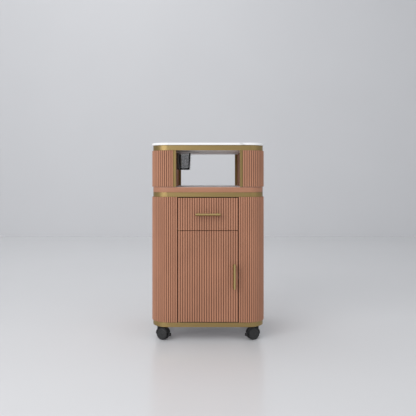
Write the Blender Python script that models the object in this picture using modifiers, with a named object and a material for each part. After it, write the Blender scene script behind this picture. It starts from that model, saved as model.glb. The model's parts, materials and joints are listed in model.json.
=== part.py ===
"""A fluted spa trolley: an open niche over a drawer and a cupboard, on four twin-wheel casters.

The front of the trolley faces -Y, and +Z is up. Sizes are in metres.
The body is modelled about its own middle, and one empty then moves it back in Y by half of what the
pulls stand out, so that the origin is under the middle of the whole trolley, at floor level.
"""

import math

import bmesh
import bpy
from mathutils import Matrix, Vector

# ---------------------------------------------------------------- driving dimensions
GAP = 0.0003  # left between two pieces that touch

# Plan of the body, measured over the tips of the flutes
WIDTH = 0.460
DEPTH = 0.420
CORNER_RADIUS = 0.070
CORNER_STEPS = 10
FLUTE_PITCH = 0.0088
FLUTE_HEIGHT = 0.0042
WALL = 0.012  # fluted boards, flutes included
BAND_INSET = 0.004  # bands and smooth boards sit this far inside the flute tips
BAND_SHEET = 0.0015
SLAB_PROUD = 0.0013

# Heights of the layers, from the floor up
BASE_BOTTOM = 0.0595
BASE_TOP = BASE_BOTTOM + 0.0192
CABINET_TOP = BASE_TOP + 0.5035
NICHE_FLOOR_BOTTOM = CABINET_TOP + 0.0188
NICHE_FLOOR_TOP = NICHE_FLOOR_BOTTOM + 0.0217
TOP_BOARD_BOTTOM = NICHE_FLOOR_TOP + 0.1473
SLAB_BOTTOM = TOP_BOARD_BOTTOM + 0.0210
SLAB_TOP = SLAB_BOTTOM + 0.0090
REVEAL = 0.001  # shadow line between the base band and the flutes above it
SLAB_EDGE = 0.001  # bevel round the worktop

# Front opening of the cabinet
OPENING_HALF = 0.123
FRONT_HALF = 0.1206
FRONT_THICKNESS = 0.018
FRONT_FLUTES = 25
BACK_FLUTES = 28
DOOR_BOTTOM = BASE_TOP + 0.0024
DOOR_TOP = DOOR_BOTTOM + 0.3649
DRAWER_FRONT_BOTTOM = DOOR_TOP + 0.0025
DRAWER_FRONT_TOP = CABINET_TOP - 0.0032

# Inside of the cabinet
INNER_SIDE_FACE = 0.125
INNER_SIDE_SHEET = 0.012
INSIDE_FRONT = -0.190
DIVIDER_BOTTOM = DOOR_TOP + 0.0024
DIVIDER_SHEET = 0.012
SHELF_BOTTOM = BASE_TOP + 0.1738
SHELF_SHEET = 0.012
SHELF_SETBACK = 0.010
SHELF_EDGE = 0.001
CLEAT = 0.012
CLEAT_SETBACK = 0.020

# Drawer box and slides
DRAWER_SIDE_FACE = 0.112
DRAWER_SIDE_SHEET = 0.010
DRAWER_LENGTH = 0.320
DRAWER_BOX_BOTTOM = DRAWER_FRONT_BOTTOM + 0.016
DRAWER_BOX_TOP = DRAWER_BOX_BOTTOM + 0.092
DRAWER_BACK_DROP = 0.006
DRAWER_FLOOR_SHEET = 0.005
DRAWER_FLOOR_LIFT = 0.004
SLIDE_LENGTH = 0.300
SLIDE_SHEET = 0.0012
SLIDE_SETBACK = 0.002
SLIDE_HEIGHT = (DRAWER_BOX_BOTTOM + DRAWER_BOX_TOP) / 2
# Of each member: distance of its web and of its lips from the middle, and half its height
SLIDE_MEMBERS = {
    "outer": (INNER_SIDE_FACE - GAP, 0.1145, 0.0225),
    "middle": (0.1212, 0.1155, 0.0196),
    "inner": (DRAWER_SIDE_FACE + GAP, 0.1190, 0.0154),
}

# Pulls
PULL_LENGTH = 0.100
PULL_WIDTH = 0.0096
PULL_THICKNESS = 0.009
PULL_REACH = 0.025
PULL_POST_RADIUS = 0.0032
PULL_POST_SPACING = 0.076
PULL_EDGE = 0.001
DRAWER_PULL_DROP = 0.0014  # below the middle of the drawer front
DRAWER_PULL_HEIGHT = (DRAWER_FRONT_BOTTOM + DRAWER_FRONT_TOP) / 2 - DRAWER_PULL_DROP
DOOR_PULL_X = 0.1045
DOOR_PULL_LIFT = 0.0025  # above the middle of the door
DOOR_PULL_HEIGHT = (DOOR_BOTTOM + DOOR_TOP) / 2 + DOOR_PULL_LIFT

# Door hinge and catch
PIVOT_INSET = 0.005  # from the door's left edge and from its front
PIN_RADIUS = 0.0025
PIN_LENGTH = 0.008
PIN_CLEARANCE = 0.0004
PIVOT_HOLE_SPARE = 0.001  # what the blind hole goes on past the pin's end
LEAF_SHEET = 0.0016
LEAF_NOSE = 0.0042  # radius of the leaf round its pin
LEAF_LEFT, LEAF_RIGHT = -0.1215, -0.098
LEAF_NECK, LEAF_BACK = -0.188, -0.166
STRIKE_LEFT, STRIKE_RIGHT = 0.075, 0.100
STRIKE_BOTTOM, STRIKE_TOP = DOOR_TOP - 0.0135, DOOR_TOP - 0.0015
STRIKE_SHEET = 0.0012
CATCH_SIDE = 0.005  # what the catch stands out beyond each end of the strike
CATCH_DEPTH = 0.0142
CATCH_EDGE = 0.001

# Niche. Its walls stand back behind the brass bars at its front and back corners.
NICHE_HALF = 0.128  # clear between the bars
TRIM_WIDTH = 0.011
TRIM_EDGE = 0.0006
NICHE_WALL_FACE = NICHE_HALF + TRIM_WIDTH + GAP
NICHE_WALL = 0.011

# Smoked bin and its rail
BIN_SHEET = 0.003
BIN_LEFT = -0.1232
BIN_RIGHT = -0.0708
BIN_FRONT = -0.195
BIN_BACK = -0.035
BIN_TOP = TOP_BOARD_BOTTOM - 0.011
BIN_BOTTOM = BIN_TOP - 0.0662
BIN_TAPER_X = 0.004
BIN_TAPER_Y = 0.008
LIP_REACH = 0.003
LIP_SHEET = 0.0012
LIP_TOP_SHEET = 0.0022
LIP_DEPTH = 0.0175
LIP_SETBACK = 0.006
RAIL_SHEET = 0.001
RAIL_FOOT = BIN_TOP - 0.0205
RAIL_TOP = BIN_TOP - 0.0029
RAIL_FLANGE = 0.0455  # the plate on the wall covers the bin's height
RAIL_STRIP_INSET = 0.0014
RAIL_SETBACK = 0.002

# Casters. Points in a caster's own plane are (along its trail, height).
STEM_X = 0.2025
STEM_Y = 0.156
STEM_RADIUS = 0.004
STEM_DEPTH = 0.0155  # what the stem reaches into the base board
STEM_HOLE_DEPTH = 0.0163
CASTER_TOE = math.radians(28)
CASTER_TRAIL = 0.022
WHEEL_RADIUS = 0.025
WHEEL_WIDTH = 0.009
WHEEL_STEPS = 24
WHEEL_DISH = 0.0004  # the flat of the outer face lies this far behind its rim
WHEEL_DISH_RADIUS, WHEEL_RIM_RADIUS = 0.0216, 0.0224
TREAD_SHOULDER = 0.001  # what the tread's rounding takes off its radius
WHEEL_GAP_HALF = 0.0035  # from the caster's middle plane to a wheel
WHEEL_BORE_DEPTH = 0.0065
AXLE = (CASTER_TRAIL, WHEEL_RADIUS)
AXLE_RADIUS = 0.003
AXLE_LENGTH = 2 * (WHEEL_GAP_HALF + 0.0060)
AXLE_CLEARANCE = 0.0004
WEB_HALF = 0.0030
WEB_TOE = 0.008  # radius of the web below the axle
WEB_IN_HOOD = 0.0006  # how far the web runs into the hood
WEB_SHOULDER = 0.050
WEB_HEEL, WEB_THROAT = 0.030, (0.004, 0.024)
BOSS_RADIUS = 0.0056
BOSS_BOTTOM, BOSS_TOP = 0.0462, 0.0545
HOOD_INNER = WHEEL_RADIUS + 0.0012
HOOD_OUTER = WHEEL_RADIUS + 0.0028
HOOD_HALF = WHEEL_GAP_HALF + WHEEL_WIDTH - 0.0005
HOOD_START, HOOD_END = 10, 186  # degrees round the axle, from the trail side over the top
PEDAL_PIVOT = (0.035, 0.040)
PEDAL_NOSE = 0.0034  # radius of the tongue round its pin
PEDAL_TONGUE = 0.0026
PEDAL_PIN_RADIUS = 0.0016
PEDAL_PIN_LENGTH = 0.005
PEDAL_SLOT_LOW, PEDAL_SLOT_HIGH = (-0.0045, -0.013), (0.030, 0.0048)  # from the pivot
PAD_LOW, PAD_HIGH = (0.0505, 0.0165), (0.0555, 0.0285)
PAD_HALF = 0.008
PAD_EDGE = 0.001

BODY_SHIFT = (PULL_REACH - SLAB_PROUD) / 2
ROUND_STEPS = 24


# ---------------------------------------------------------------- scene
def clear_scene():
    for obj in list(bpy.data.objects):
        bpy.data.objects.remove(obj, do_unlink=True)


def new_collection(name):
    collection = bpy.data.collections.new(name)
    bpy.context.scene.collection.children.link(collection)
    return collection


def new_empty(name, location, parent=None, turn=0.0):
    empty = bpy.data.objects.new(name, None)
    empty.location = location
    empty.rotation_euler.z = turn
    empty.parent = parent
    empty.empty_display_size = 0.05
    PARTS.objects.link(empty)
    return empty


def new_material(name, colour, roughness, metallic=0.0, transmission=0.0):
    material = bpy.data.materials.new(name)
    material.use_nodes = True
    shader = material.node_tree.nodes["Principled BSDF"]
    shader.inputs["Base Color"].default_value = (*colour, 1.0)
    shader.inputs["Roughness"].default_value = roughness
    shader.inputs["Metallic"].default_value = metallic
    shader.inputs["Transmission Weight"].default_value = transmission
    material.diffuse_color = (*colour, 1.0)
    return material


clear_scene()
PARTS = new_collection("spa_trolley")
CUTTERS = new_collection("cutters")
TROLLEY = new_empty("trolley", (0, BODY_SHIFT, 0))
LACQUER = new_material("pink_lacquer", (0.45, 0.23, 0.16), 0.45)
BRASS = new_material("brushed_brass", (0.45, 0.33, 0.14), 0.35, metallic=1.0)
STONE = new_material("white_stone", (0.86, 0.86, 0.85), 0.2)
LAMINATE = new_material("white_laminate", (0.62, 0.60, 0.58), 0.5)
STEEL = new_material("zinc_steel", (0.55, 0.56, 0.58), 0.35, metallic=1.0)
NYLON = new_material("black_nylon", (0.03, 0.03, 0.03), 0.5)
SMOKED = new_material("smoked_acrylic", (0.12, 0.12, 0.12), 0.08, transmission=0.6)
RAIL_BLACK = new_material("black_steel", (0.03, 0.03, 0.03), 0.45, metallic=0.6)


# ---------------------------------------------------------------- modelling helpers
def finish(obj, material, parent=TROLLEY, collection=PARTS):
    collection.objects.link(obj)
    obj.parent = parent
    if material:
        obj.data.materials.append(material)
    return obj


def as_cutter(obj):
    obj.hide_render = True
    obj.display_type = "WIRE"
    return obj


def block(name, low, high, material, parent=TROLLEY, bevel=0.0, collection=PARTS):
    """A box between two opposite corners."""
    low = Vector(low)
    high = Vector(high)
    mesh = bpy.data.meshes.new(name)
    shape = bmesh.new()
    bmesh.ops.create_cube(shape, size=1.0, matrix=Matrix.Diagonal((*(high - low), 1.0)))
    shape.to_mesh(mesh)
    shape.free()
    obj = bpy.data.objects.new(name, mesh)
    obj.location = (low + high) / 2
    if bevel:
        rounding = obj.modifiers.new("rounded_edges", "BEVEL")
        rounding.width = bevel
        rounding.segments = 2
    return finish(obj, material, parent, collection)


def cylinder(name, radius, length, location, axis, parent=TROLLEY, steps=ROUND_STEPS):
    """A hidden cylinder that a Boolean joins to a piece or cuts from it."""
    mesh = bpy.data.meshes.new(name)
    shape = bmesh.new()
    bmesh.ops.create_cone(
        shape, cap_ends=True, segments=steps, radius1=radius, radius2=radius, depth=length
    )
    shape.to_mesh(mesh)
    shape.free()
    obj = bpy.data.objects.new(name, mesh)
    obj.location = location
    if axis == "Y":
        obj.rotation_euler.x = math.pi / 2
    return as_cutter(finish(obj, None, parent, CUTTERS))


def plate(name, outlines, low, high, material, parent=TROLLEY, upright=False, collection=PARTS):
    """A flat outline given a thickness: in plan from low to high, or upright, drawn in XZ.

    Any outline after the first is a hole.
    """
    curve = bpy.data.curves.new(name, "CURVE")
    curve.dimensions = "2D"
    curve.fill_mode = "BOTH"
    curve.extrude = (high - low) / 2
    for outline in outlines:
        spline = curve.splines.new("POLY")
        spline.points.add(len(outline) - 1)
        for point, (x, y) in zip(spline.points, outline):
            point.co = (x, y, 0, 1)
        spline.use_cyclic_u = True
    obj = bpy.data.objects.new(name, curve)
    if upright:
        obj.rotation_euler.x = math.pi / 2
        obj.location.y = (low + high) / 2
    else:
        obj.location.z = (low + high) / 2
    return finish(obj, material, parent, collection)


def as_mesh(obj):
    """The same piece as a closed mesh, so that Booleans can work on it."""
    graph = bpy.context.evaluated_depsgraph_get()
    mesh = bpy.data.meshes.new_from_object(obj.evaluated_get(graph))
    shape = bmesh.new()
    shape.from_mesh(mesh)
    bmesh.ops.remove_doubles(shape, verts=shape.verts, dist=1e-6)
    bmesh.ops.recalc_face_normals(shape, faces=shape.faces)
    bmesh.ops.dissolve_limit(
        shape, angle_limit=math.radians(0.5), verts=shape.verts, edges=shape.edges
    )
    shape.to_mesh(mesh)
    shape.free()
    name = obj.name
    solid = bpy.data.objects.new(name, mesh)
    for collection in obj.users_collection:
        collection.objects.link(solid)
    solid.parent = obj.parent
    solid.location = obj.location
    solid.rotation_euler = obj.rotation_euler
    bpy.data.objects.remove(obj, do_unlink=True)
    solid.name = name
    return solid


def boolean(obj, other, operation, solver="EXACT"):
    modifier = obj.modifiers.new(other.name, "BOOLEAN")
    modifier.solver = solver
    modifier.operation = operation
    modifier.object = other
    return obj


def turned(name, profile, material, steps):
    """A profile of (radius, height) points turned about its own Z."""
    mesh = bpy.data.meshes.new(name)
    shape = bmesh.new()
    corners = [shape.verts.new((radius, 0, height)) for radius, height in profile]
    for first, second in zip(corners, corners[1:]):
        shape.edges.new((first, second))
    shape.to_mesh(mesh)
    shape.free()
    mesh.materials.append(material)
    obj = bpy.data.objects.new(name, mesh)
    screw = obj.modifiers.new("turned", "SCREW")
    screw.steps = steps
    screw.render_steps = steps
    screw.use_merge_vertices = True
    screw.merge_threshold = 1e-5
    return obj


# ---------------------------------------------------------------- outlines
def rounded_rectangle(inset):
    """The body's plan, drawn this far inside the tips of the flutes."""
    radius = CORNER_RADIUS - inset
    centre_x = WIDTH / 2 - CORNER_RADIUS
    centre_y = DEPTH / 2 - CORNER_RADIUS
    points = []
    for quarter, (x, y) in enumerate(((1, 1), (-1, 1), (-1, -1), (1, -1))):
        for step in range(CORNER_STEPS + 1):
            angle = math.pi / 2 * (quarter + step / CORNER_STEPS)
            points.append(
                (x * centre_x + radius * math.cos(angle), y * centre_y + radius * math.sin(angle))
            )
    return points


def shell_stretches(edge_x):
    """Lengths of a side shell's front, corner and side, measured along the foot of its flutes."""
    front = WIDTH / 2 - CORNER_RADIUS - edge_x
    corner = (CORNER_RADIUS - FLUTE_HEIGHT) * math.pi / 2
    side = DEPTH - 2 * CORNER_RADIUS
    return front, corner, side


def shell_point(distance, edge_x, inset):
    """A point on the left side shell, which runs from its front edge round to its back edge."""
    front, corner, side = shell_stretches(edge_x)
    radius = CORNER_RADIUS - inset
    centre_x = CORNER_RADIUS - WIDTH / 2
    centre_y = DEPTH / 2 - CORNER_RADIUS
    if distance <= front:
        return -edge_x - distance, inset - DEPTH / 2
    distance -= front
    if distance <= corner:
        angle = distance / corner * math.pi / 2
        return centre_x - radius * math.sin(angle), -centre_y - radius * math.cos(angle)
    distance -= corner
    if distance <= side:
        return inset - WIDTH / 2, distance - centre_y
    distance -= side
    if distance <= corner:
        angle = distance / corner * math.pi / 2
        return centre_x - radius * math.cos(angle), centre_y + radius * math.sin(angle)
    distance -= corner
    return centre_x + distance, DEPTH / 2 - inset


def shell_outline(edge_x, side):
    """Plan of a fluted side shell that ends this far from the middle. side is -1 for left, 1 for right."""
    front, corner, length = shell_stretches(edge_x)
    total = 2 * front + 2 * corner + length
    flutes = round(total / FLUTE_PITCH)
    points = []
    for flute in range(flutes):
        for fraction, inset in ((0.0, FLUTE_HEIGHT), (0.25, 0.0), (0.75, 0.0)):
            points.append(shell_point((flute + fraction) / flutes * total, edge_x, inset))
    points.append(shell_point(total, edge_x, FLUTE_HEIGHT))
    points.append(shell_point(total, edge_x, WALL))
    for turn_start in (front + corner + length, front):
        for step in range(CORNER_STEPS, -1, -1):
            distance = turn_start + corner * step / CORNER_STEPS
            points.append(shell_point(distance, edge_x, WALL))
    points.append(shell_point(0.0, edge_x, WALL))
    return [(-side * x, y) for x, y in points]


def panel_outline(half_width, thickness, flutes, facing):
    """Plan of a flat board with flutes on its front (facing -1) or its back (facing 1)."""
    foot = DEPTH / 2 - FLUTE_HEIGHT
    pitch = 2 * half_width / flutes
    points = []
    for flute in range(flutes):
        for fraction, height in ((0.0, 0.0), (0.25, FLUTE_HEIGHT), (0.75, FLUTE_HEIGHT)):
            points.append(((flute + fraction) * pitch - half_width, facing * (foot + height)))
    points.append((half_width, facing * foot))
    points.append((half_width, facing * (DEPTH / 2 - thickness)))
    points.append((-half_width, facing * (DEPTH / 2 - thickness)))
    return points


def arc(centre, radius, start, end, steps):
    """Points on an arc between two angles in degrees."""
    points = []
    for step in range(steps + 1):
        angle = math.radians(start + (end - start) * step / steps)
        points.append((centre[0] + radius * math.cos(angle), centre[1] + radius * math.sin(angle)))
    return points


def channel_outline(web_x, tip_x, half_height, side):
    """Section of a C-shaped slide member. Its web is at web_x and its lips reach to tip_x."""
    step = math.copysign(SLIDE_SHEET, tip_x - web_x)
    top = SLIDE_HEIGHT + half_height
    bottom = SLIDE_HEIGHT - half_height
    points = [
        (web_x, bottom),
        (tip_x, bottom),
        (tip_x, bottom + SLIDE_SHEET),
        (web_x + step, bottom + SLIDE_SHEET),
        (web_x + step, top - SLIDE_SHEET),
        (tip_x, top - SLIDE_SHEET),
        (tip_x, top),
        (web_x, top),
    ]
    return [(side * x, z) for x, z in points]


# ---------------------------------------------------------------- layers of the body
def banded_board(board_name, band_name, bottom, top, board_top, material):
    """A board with rounded corners and the brass band that wraps its edge."""
    plate(board_name, [rounded_rectangle(BAND_INSET + BAND_SHEET + GAP)], bottom, board_top, material)
    band = [rounded_rectangle(BAND_INSET), rounded_rectangle(BAND_INSET + BAND_SHEET)]
    return plate(band_name, band, bottom, top, BRASS)


def build_base():
    banded_board("base_board", "base_band", BASE_BOTTOM, BASE_TOP - REVEAL, BASE_TOP, LAMINATE)
    board = as_mesh(bpy.data.objects["base_board"])
    for stem_x in (-STEM_X, STEM_X):
        for stem_y in (-STEM_Y, STEM_Y):
            hole = cylinder(
                "stem_hole",
                STEM_RADIUS + AXLE_CLEARANCE,
                2 * STEM_HOLE_DEPTH,
                (stem_x, stem_y, BASE_BOTTOM),
                "Z",
            )
            boolean(board, hole, "DIFFERENCE")


def build_cabinet_shells():
    bottom = BASE_TOP + GAP
    for name, side in (("left", -1), ("right", 1)):
        outline = shell_outline(OPENING_HALF, side)
        plate(f"{name}_fluted_shell", [outline], bottom, CABINET_TOP, LACQUER)
        faces = sorted((side * INNER_SIDE_FACE, side * (INNER_SIDE_FACE + INNER_SIDE_SHEET)))
        inside = DEPTH / 2 - WALL - GAP
        block(
            f"{name}_inner_side",
            (faces[0], -inside, bottom),
            (faces[1], inside, CABINET_TOP),
            LAMINATE,
        )
    back = panel_outline(OPENING_HALF - GAP, WALL, BACK_FLUTES, 1)
    plate("back_fluted_panel", [back], bottom, CABINET_TOP, LACQUER)


def build_cabinet_inside():
    half = INNER_SIDE_FACE - GAP
    back = DEPTH / 2 - WALL - GAP
    block(
        "drawer_divider",
        (-half, INSIDE_FRONT, DIVIDER_BOTTOM),
        (half, back, DIVIDER_BOTTOM + DIVIDER_SHEET),
        LAMINATE,
    )
    block(
        "inner_shelf",
        (-half, INSIDE_FRONT + SHELF_SETBACK, SHELF_BOTTOM),
        (half, back, SHELF_BOTTOM + SHELF_SHEET),
        LAMINATE,
        bevel=SHELF_EDGE,
    )
    for name, side in (("left", -1), ("right", 1)):
        faces = sorted((side * half, side * (half - CLEAT)))
        block(
            f"shelf_cleat_{name}",
            (faces[0], INSIDE_FRONT + CLEAT_SETBACK, SHELF_BOTTOM - GAP - CLEAT),
            (faces[1], back - SHELF_SETBACK, SHELF_BOTTOM - GAP),
            LAMINATE,
        )


def build_niche():
    plate(
        "niche_floor_board",
        [rounded_rectangle(BAND_INSET)],
        NICHE_FLOOR_BOTTOM,
        NICHE_FLOOR_TOP,
        LACQUER,
    )
    bottom = NICHE_FLOOR_TOP + GAP
    top = TOP_BOARD_BOTTOM - GAP
    front = DEPTH / 2
    inside = front - WALL
    for name, side in (("left", -1), ("right", 1)):
        outline = shell_outline(NICHE_WALL_FACE, side)
        plate(f"{name}_pillar_shell", [outline], bottom, top, LACQUER)
        faces = sorted((side * NICHE_WALL_FACE, side * (NICHE_WALL_FACE + NICHE_WALL)))
        block(
            f"{name}_niche_wall",
            (faces[0], GAP - inside, bottom),
            (faces[1], inside - GAP, top),
            LACQUER,
        )
        faces = sorted((side * NICHE_HALF, side * (NICHE_HALF + TRIM_WIDTH)))
        for place, ends in (("front", (-front, -inside)), ("back", (inside, front))):
            block(
                f"{name}_{place}_trim",
                (faces[0], ends[0], bottom),
                (faces[1], ends[1], top),
                BRASS,
                bevel=TRIM_EDGE,
            )


def build_top():
    board_top = SLAB_BOTTOM - GAP
    banded_board("top_board", "top_band", TOP_BOARD_BOTTOM, board_top, board_top, LAMINATE)
    slab = plate("worktop_slab", [rounded_rectangle(-SLAB_PROUD)], SLAB_BOTTOM, SLAB_TOP, STONE)
    slab = as_mesh(slab)
    rounding = slab.modifiers.new("eased_edge", "BEVEL")
    rounding.width = SLAB_EDGE
    rounding.segments = 1


# ---------------------------------------------------------------- drawer
def pull(name, location, upright):
    """A brass bar on two posts. Its posts end just in front of the flutes."""
    front = -DEPTH / 2 - PULL_REACH
    half = PULL_LENGTH / 2
    section = PULL_WIDTH / 2
    reach = (section, half) if upright else (half, section)
    x, z = location
    bar = block(
        name,
        (x - reach[0], front, z - reach[1]),
        (x + reach[0], front + PULL_THICKNESS, z + reach[1]),
        BRASS,
        bevel=PULL_EDGE,
    )
    start = front + PULL_THICKNESS / 2
    end = -DEPTH / 2 - GAP
    for end_side in (-1, 1):
        offset = end_side * PULL_POST_SPACING / 2
        place = (x, (start + end) / 2, z + offset) if upright else (x + offset, (start + end) / 2, z)
        post = cylinder(f"{name}_post", PULL_POST_RADIUS, end - start, place, "Y", steps=16)
        boolean(bar, post, "UNION")
    return bar


def build_drawer():
    front = panel_outline(FRONT_HALF, FRONT_THICKNESS, FRONT_FLUTES, -1)
    plate("drawer_front", [front], DRAWER_FRONT_BOTTOM, DRAWER_FRONT_TOP, LACQUER)
    start = -DEPTH / 2 + FRONT_THICKNESS + GAP
    end = start + DRAWER_LENGTH
    for name, side in (("left", -1), ("right", 1)):
        faces = sorted((side * DRAWER_SIDE_FACE, side * (DRAWER_SIDE_FACE - DRAWER_SIDE_SHEET)))
        block(
            f"drawer_{name}_side",
            (faces[0], start, DRAWER_BOX_BOTTOM),
            (faces[1], end, DRAWER_BOX_TOP),
            LAMINATE,
        )
    half = DRAWER_SIDE_FACE - DRAWER_SIDE_SHEET - GAP
    floor_bottom = DRAWER_BOX_BOTTOM + DRAWER_FLOOR_LIFT
    floor_top = floor_bottom + DRAWER_FLOOR_SHEET
    block("drawer_bottom", (-half, start, floor_bottom), (half, end, floor_top), LAMINATE)
    block(
        "drawer_back",
        (-half, end - DRAWER_SIDE_SHEET, floor_top + GAP),
        (half, end, DRAWER_BOX_TOP - DRAWER_BACK_DROP),
        LAMINATE,
    )
    pull("drawer_pull", (0, DRAWER_PULL_HEIGHT), upright=False)


def build_slides():
    """Three nested C-shaped members on each side, in the 13 mm between cabinet and drawer box."""
    start = INSIDE_FRONT + SLIDE_SETBACK
    for name, side in (("left", -1), ("right", 1)):
        for member, section in SLIDE_MEMBERS.items():
            outline = channel_outline(*section, side)
            plate(
                f"slide_{member}_{name}",
                [outline],
                start,
                start + SLIDE_LENGTH,
                STEEL,
                upright=True,
            )


# ---------------------------------------------------------------- door
PIVOT = (PIVOT_INSET - FRONT_HALF, PIVOT_INSET - DEPTH / 2)


def build_door():
    """The door turns on two pins that stand in blind holes in its top and bottom edges."""
    outline = panel_outline(FRONT_HALF, FRONT_THICKNESS, FRONT_FLUTES, -1)
    door = as_mesh(plate("door_panel", [outline], DOOR_BOTTOM, DOOR_TOP, LACQUER))
    for edge in (DOOR_BOTTOM, DOOR_TOP):
        depth = PIN_LENGTH + PIVOT_HOLE_SPARE
        hole = cylinder("pivot_hole", PIN_RADIUS + PIN_CLEARANCE, 2 * depth, (*PIVOT, edge), "Z")
        # The EXACT solver leaves this fluted outline open, so these two cuts use MANIFOLD.
        boolean(door, hole, "DIFFERENCE", solver="MANIFOLD")
    pull("door_pull", (DOOR_PULL_X, DOOR_PULL_HEIGHT), upright=True)


def hinge_leaf(name, bottom, pin_down):
    """A flat leaf that reaches forward from the cabinet and carries the door's pin."""
    outline = arc(PIVOT, LEAF_NOSE, 150, 330, 8)
    outline += [(LEAF_RIGHT, LEAF_NECK), (LEAF_RIGHT, LEAF_BACK)]
    outline += [(LEAF_LEFT, LEAF_BACK), (LEAF_LEFT, LEAF_NECK)]
    leaf = as_mesh(plate(name, [outline], bottom, bottom + LEAF_SHEET, BRASS))
    root = bottom + LEAF_SHEET if pin_down else bottom
    length = PIN_LENGTH + LEAF_SHEET
    middle = root - length / 2 if pin_down else root + length / 2
    pin = cylinder(f"{name}_pin", PIN_RADIUS, length, (*PIVOT, middle), "Z")
    return boolean(leaf, pin, "UNION")


def build_hinge_and_catch():
    hinge_leaf("hinge_leaf_top", DIVIDER_BOTTOM - GAP - LEAF_SHEET, pin_down=True)
    hinge_leaf("hinge_leaf_bottom", BASE_TOP + GAP, pin_down=False)
    back_of_door = -DEPTH / 2 + FRONT_THICKNESS
    strike_back = back_of_door + GAP + STRIKE_SHEET
    block(
        "door_strike",
        (STRIKE_LEFT, back_of_door + GAP, STRIKE_BOTTOM),
        (STRIKE_RIGHT, strike_back, STRIKE_TOP),
        STEEL,
    )
    block(
        "door_catch",
        (STRIKE_LEFT - CATCH_SIDE, strike_back + GAP, STRIKE_BOTTOM + CATCH_EDGE),
        (STRIKE_RIGHT + CATCH_SIDE, strike_back + GAP + CATCH_DEPTH, DIVIDER_BOTTOM - GAP),
        NYLON,
        bevel=CATCH_EDGE,
    )


# ---------------------------------------------------------------- bin
def build_bin():
    """A tapered see-through bin. A lip on its left edge hangs over the strip of a rail on the wall."""
    mesh = bpy.data.meshes.new("smoked_bin")
    shape = bmesh.new()
    size = Vector((BIN_RIGHT - BIN_LEFT, BIN_BACK - BIN_FRONT, BIN_TOP - BIN_BOTTOM))
    bmesh.ops.create_cube(shape, size=1.0, matrix=Matrix.Diagonal((*size, 1.0)))
    for corner in shape.verts:
        if corner.co.z < 0 and corner.co.y > 0:
            corner.co.y -= BIN_TAPER_Y
        if corner.co.z < 0 and corner.co.x > 0:
            corner.co.x -= BIN_TAPER_X
    lid = [face for face in shape.faces if face.normal.z > 0.9]
    bmesh.ops.delete(shape, geom=lid, context="FACES_ONLY")
    shape.to_mesh(mesh)
    shape.free()
    body = bpy.data.objects.new("smoked_bin", mesh)
    body.location = (
        (BIN_LEFT + BIN_RIGHT) / 2,
        (BIN_FRONT + BIN_BACK) / 2,
        (BIN_BOTTOM + BIN_TOP) / 2,
    )
    walls = body.modifiers.new("walls", "SOLIDIFY")
    walls.thickness = BIN_SHEET
    walls.offset = -1
    walls.use_even_offset = True
    finish(body, SMOKED)
    outside = BIN_LEFT - LIP_REACH
    inside = BIN_LEFT + BIN_SHEET / 2
    lip = [
        (outside, BIN_TOP - LIP_DEPTH),
        (outside + LIP_SHEET, BIN_TOP - LIP_DEPTH),
        (outside + LIP_SHEET, BIN_TOP - LIP_TOP_SHEET),
        (inside, BIN_TOP - LIP_TOP_SHEET),
        (inside, BIN_TOP),
        (outside, BIN_TOP),
    ]
    hook = plate(
        "bin_lip",
        [lip],
        BIN_FRONT + LIP_SETBACK,
        BIN_BACK - LIP_SETBACK,
        None,
        upright=True,
        collection=CUTTERS,
    )
    boolean(body, as_cutter(as_mesh(hook)), "UNION")

    wall = GAP - NICHE_WALL_FACE
    strip = BIN_LEFT - RAIL_STRIP_INSET
    rail = [
        (wall, RAIL_FOOT - RAIL_FLANGE),
        (wall + RAIL_SHEET, RAIL_FOOT - RAIL_FLANGE),
        (wall + RAIL_SHEET, RAIL_FOOT),
        (strip + RAIL_SHEET, RAIL_FOOT),
        (strip + RAIL_SHEET, RAIL_TOP),
        (strip, RAIL_TOP),
        (strip, RAIL_FOOT + RAIL_SHEET),
        (wall, RAIL_FOOT + RAIL_SHEET),
    ]
    start = BIN_FRONT + RAIL_SETBACK
    end = BIN_BACK - RAIL_SETBACK
    plate("bin_rail", [rail], start, end, RAIL_BLACK, upright=True)


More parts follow.
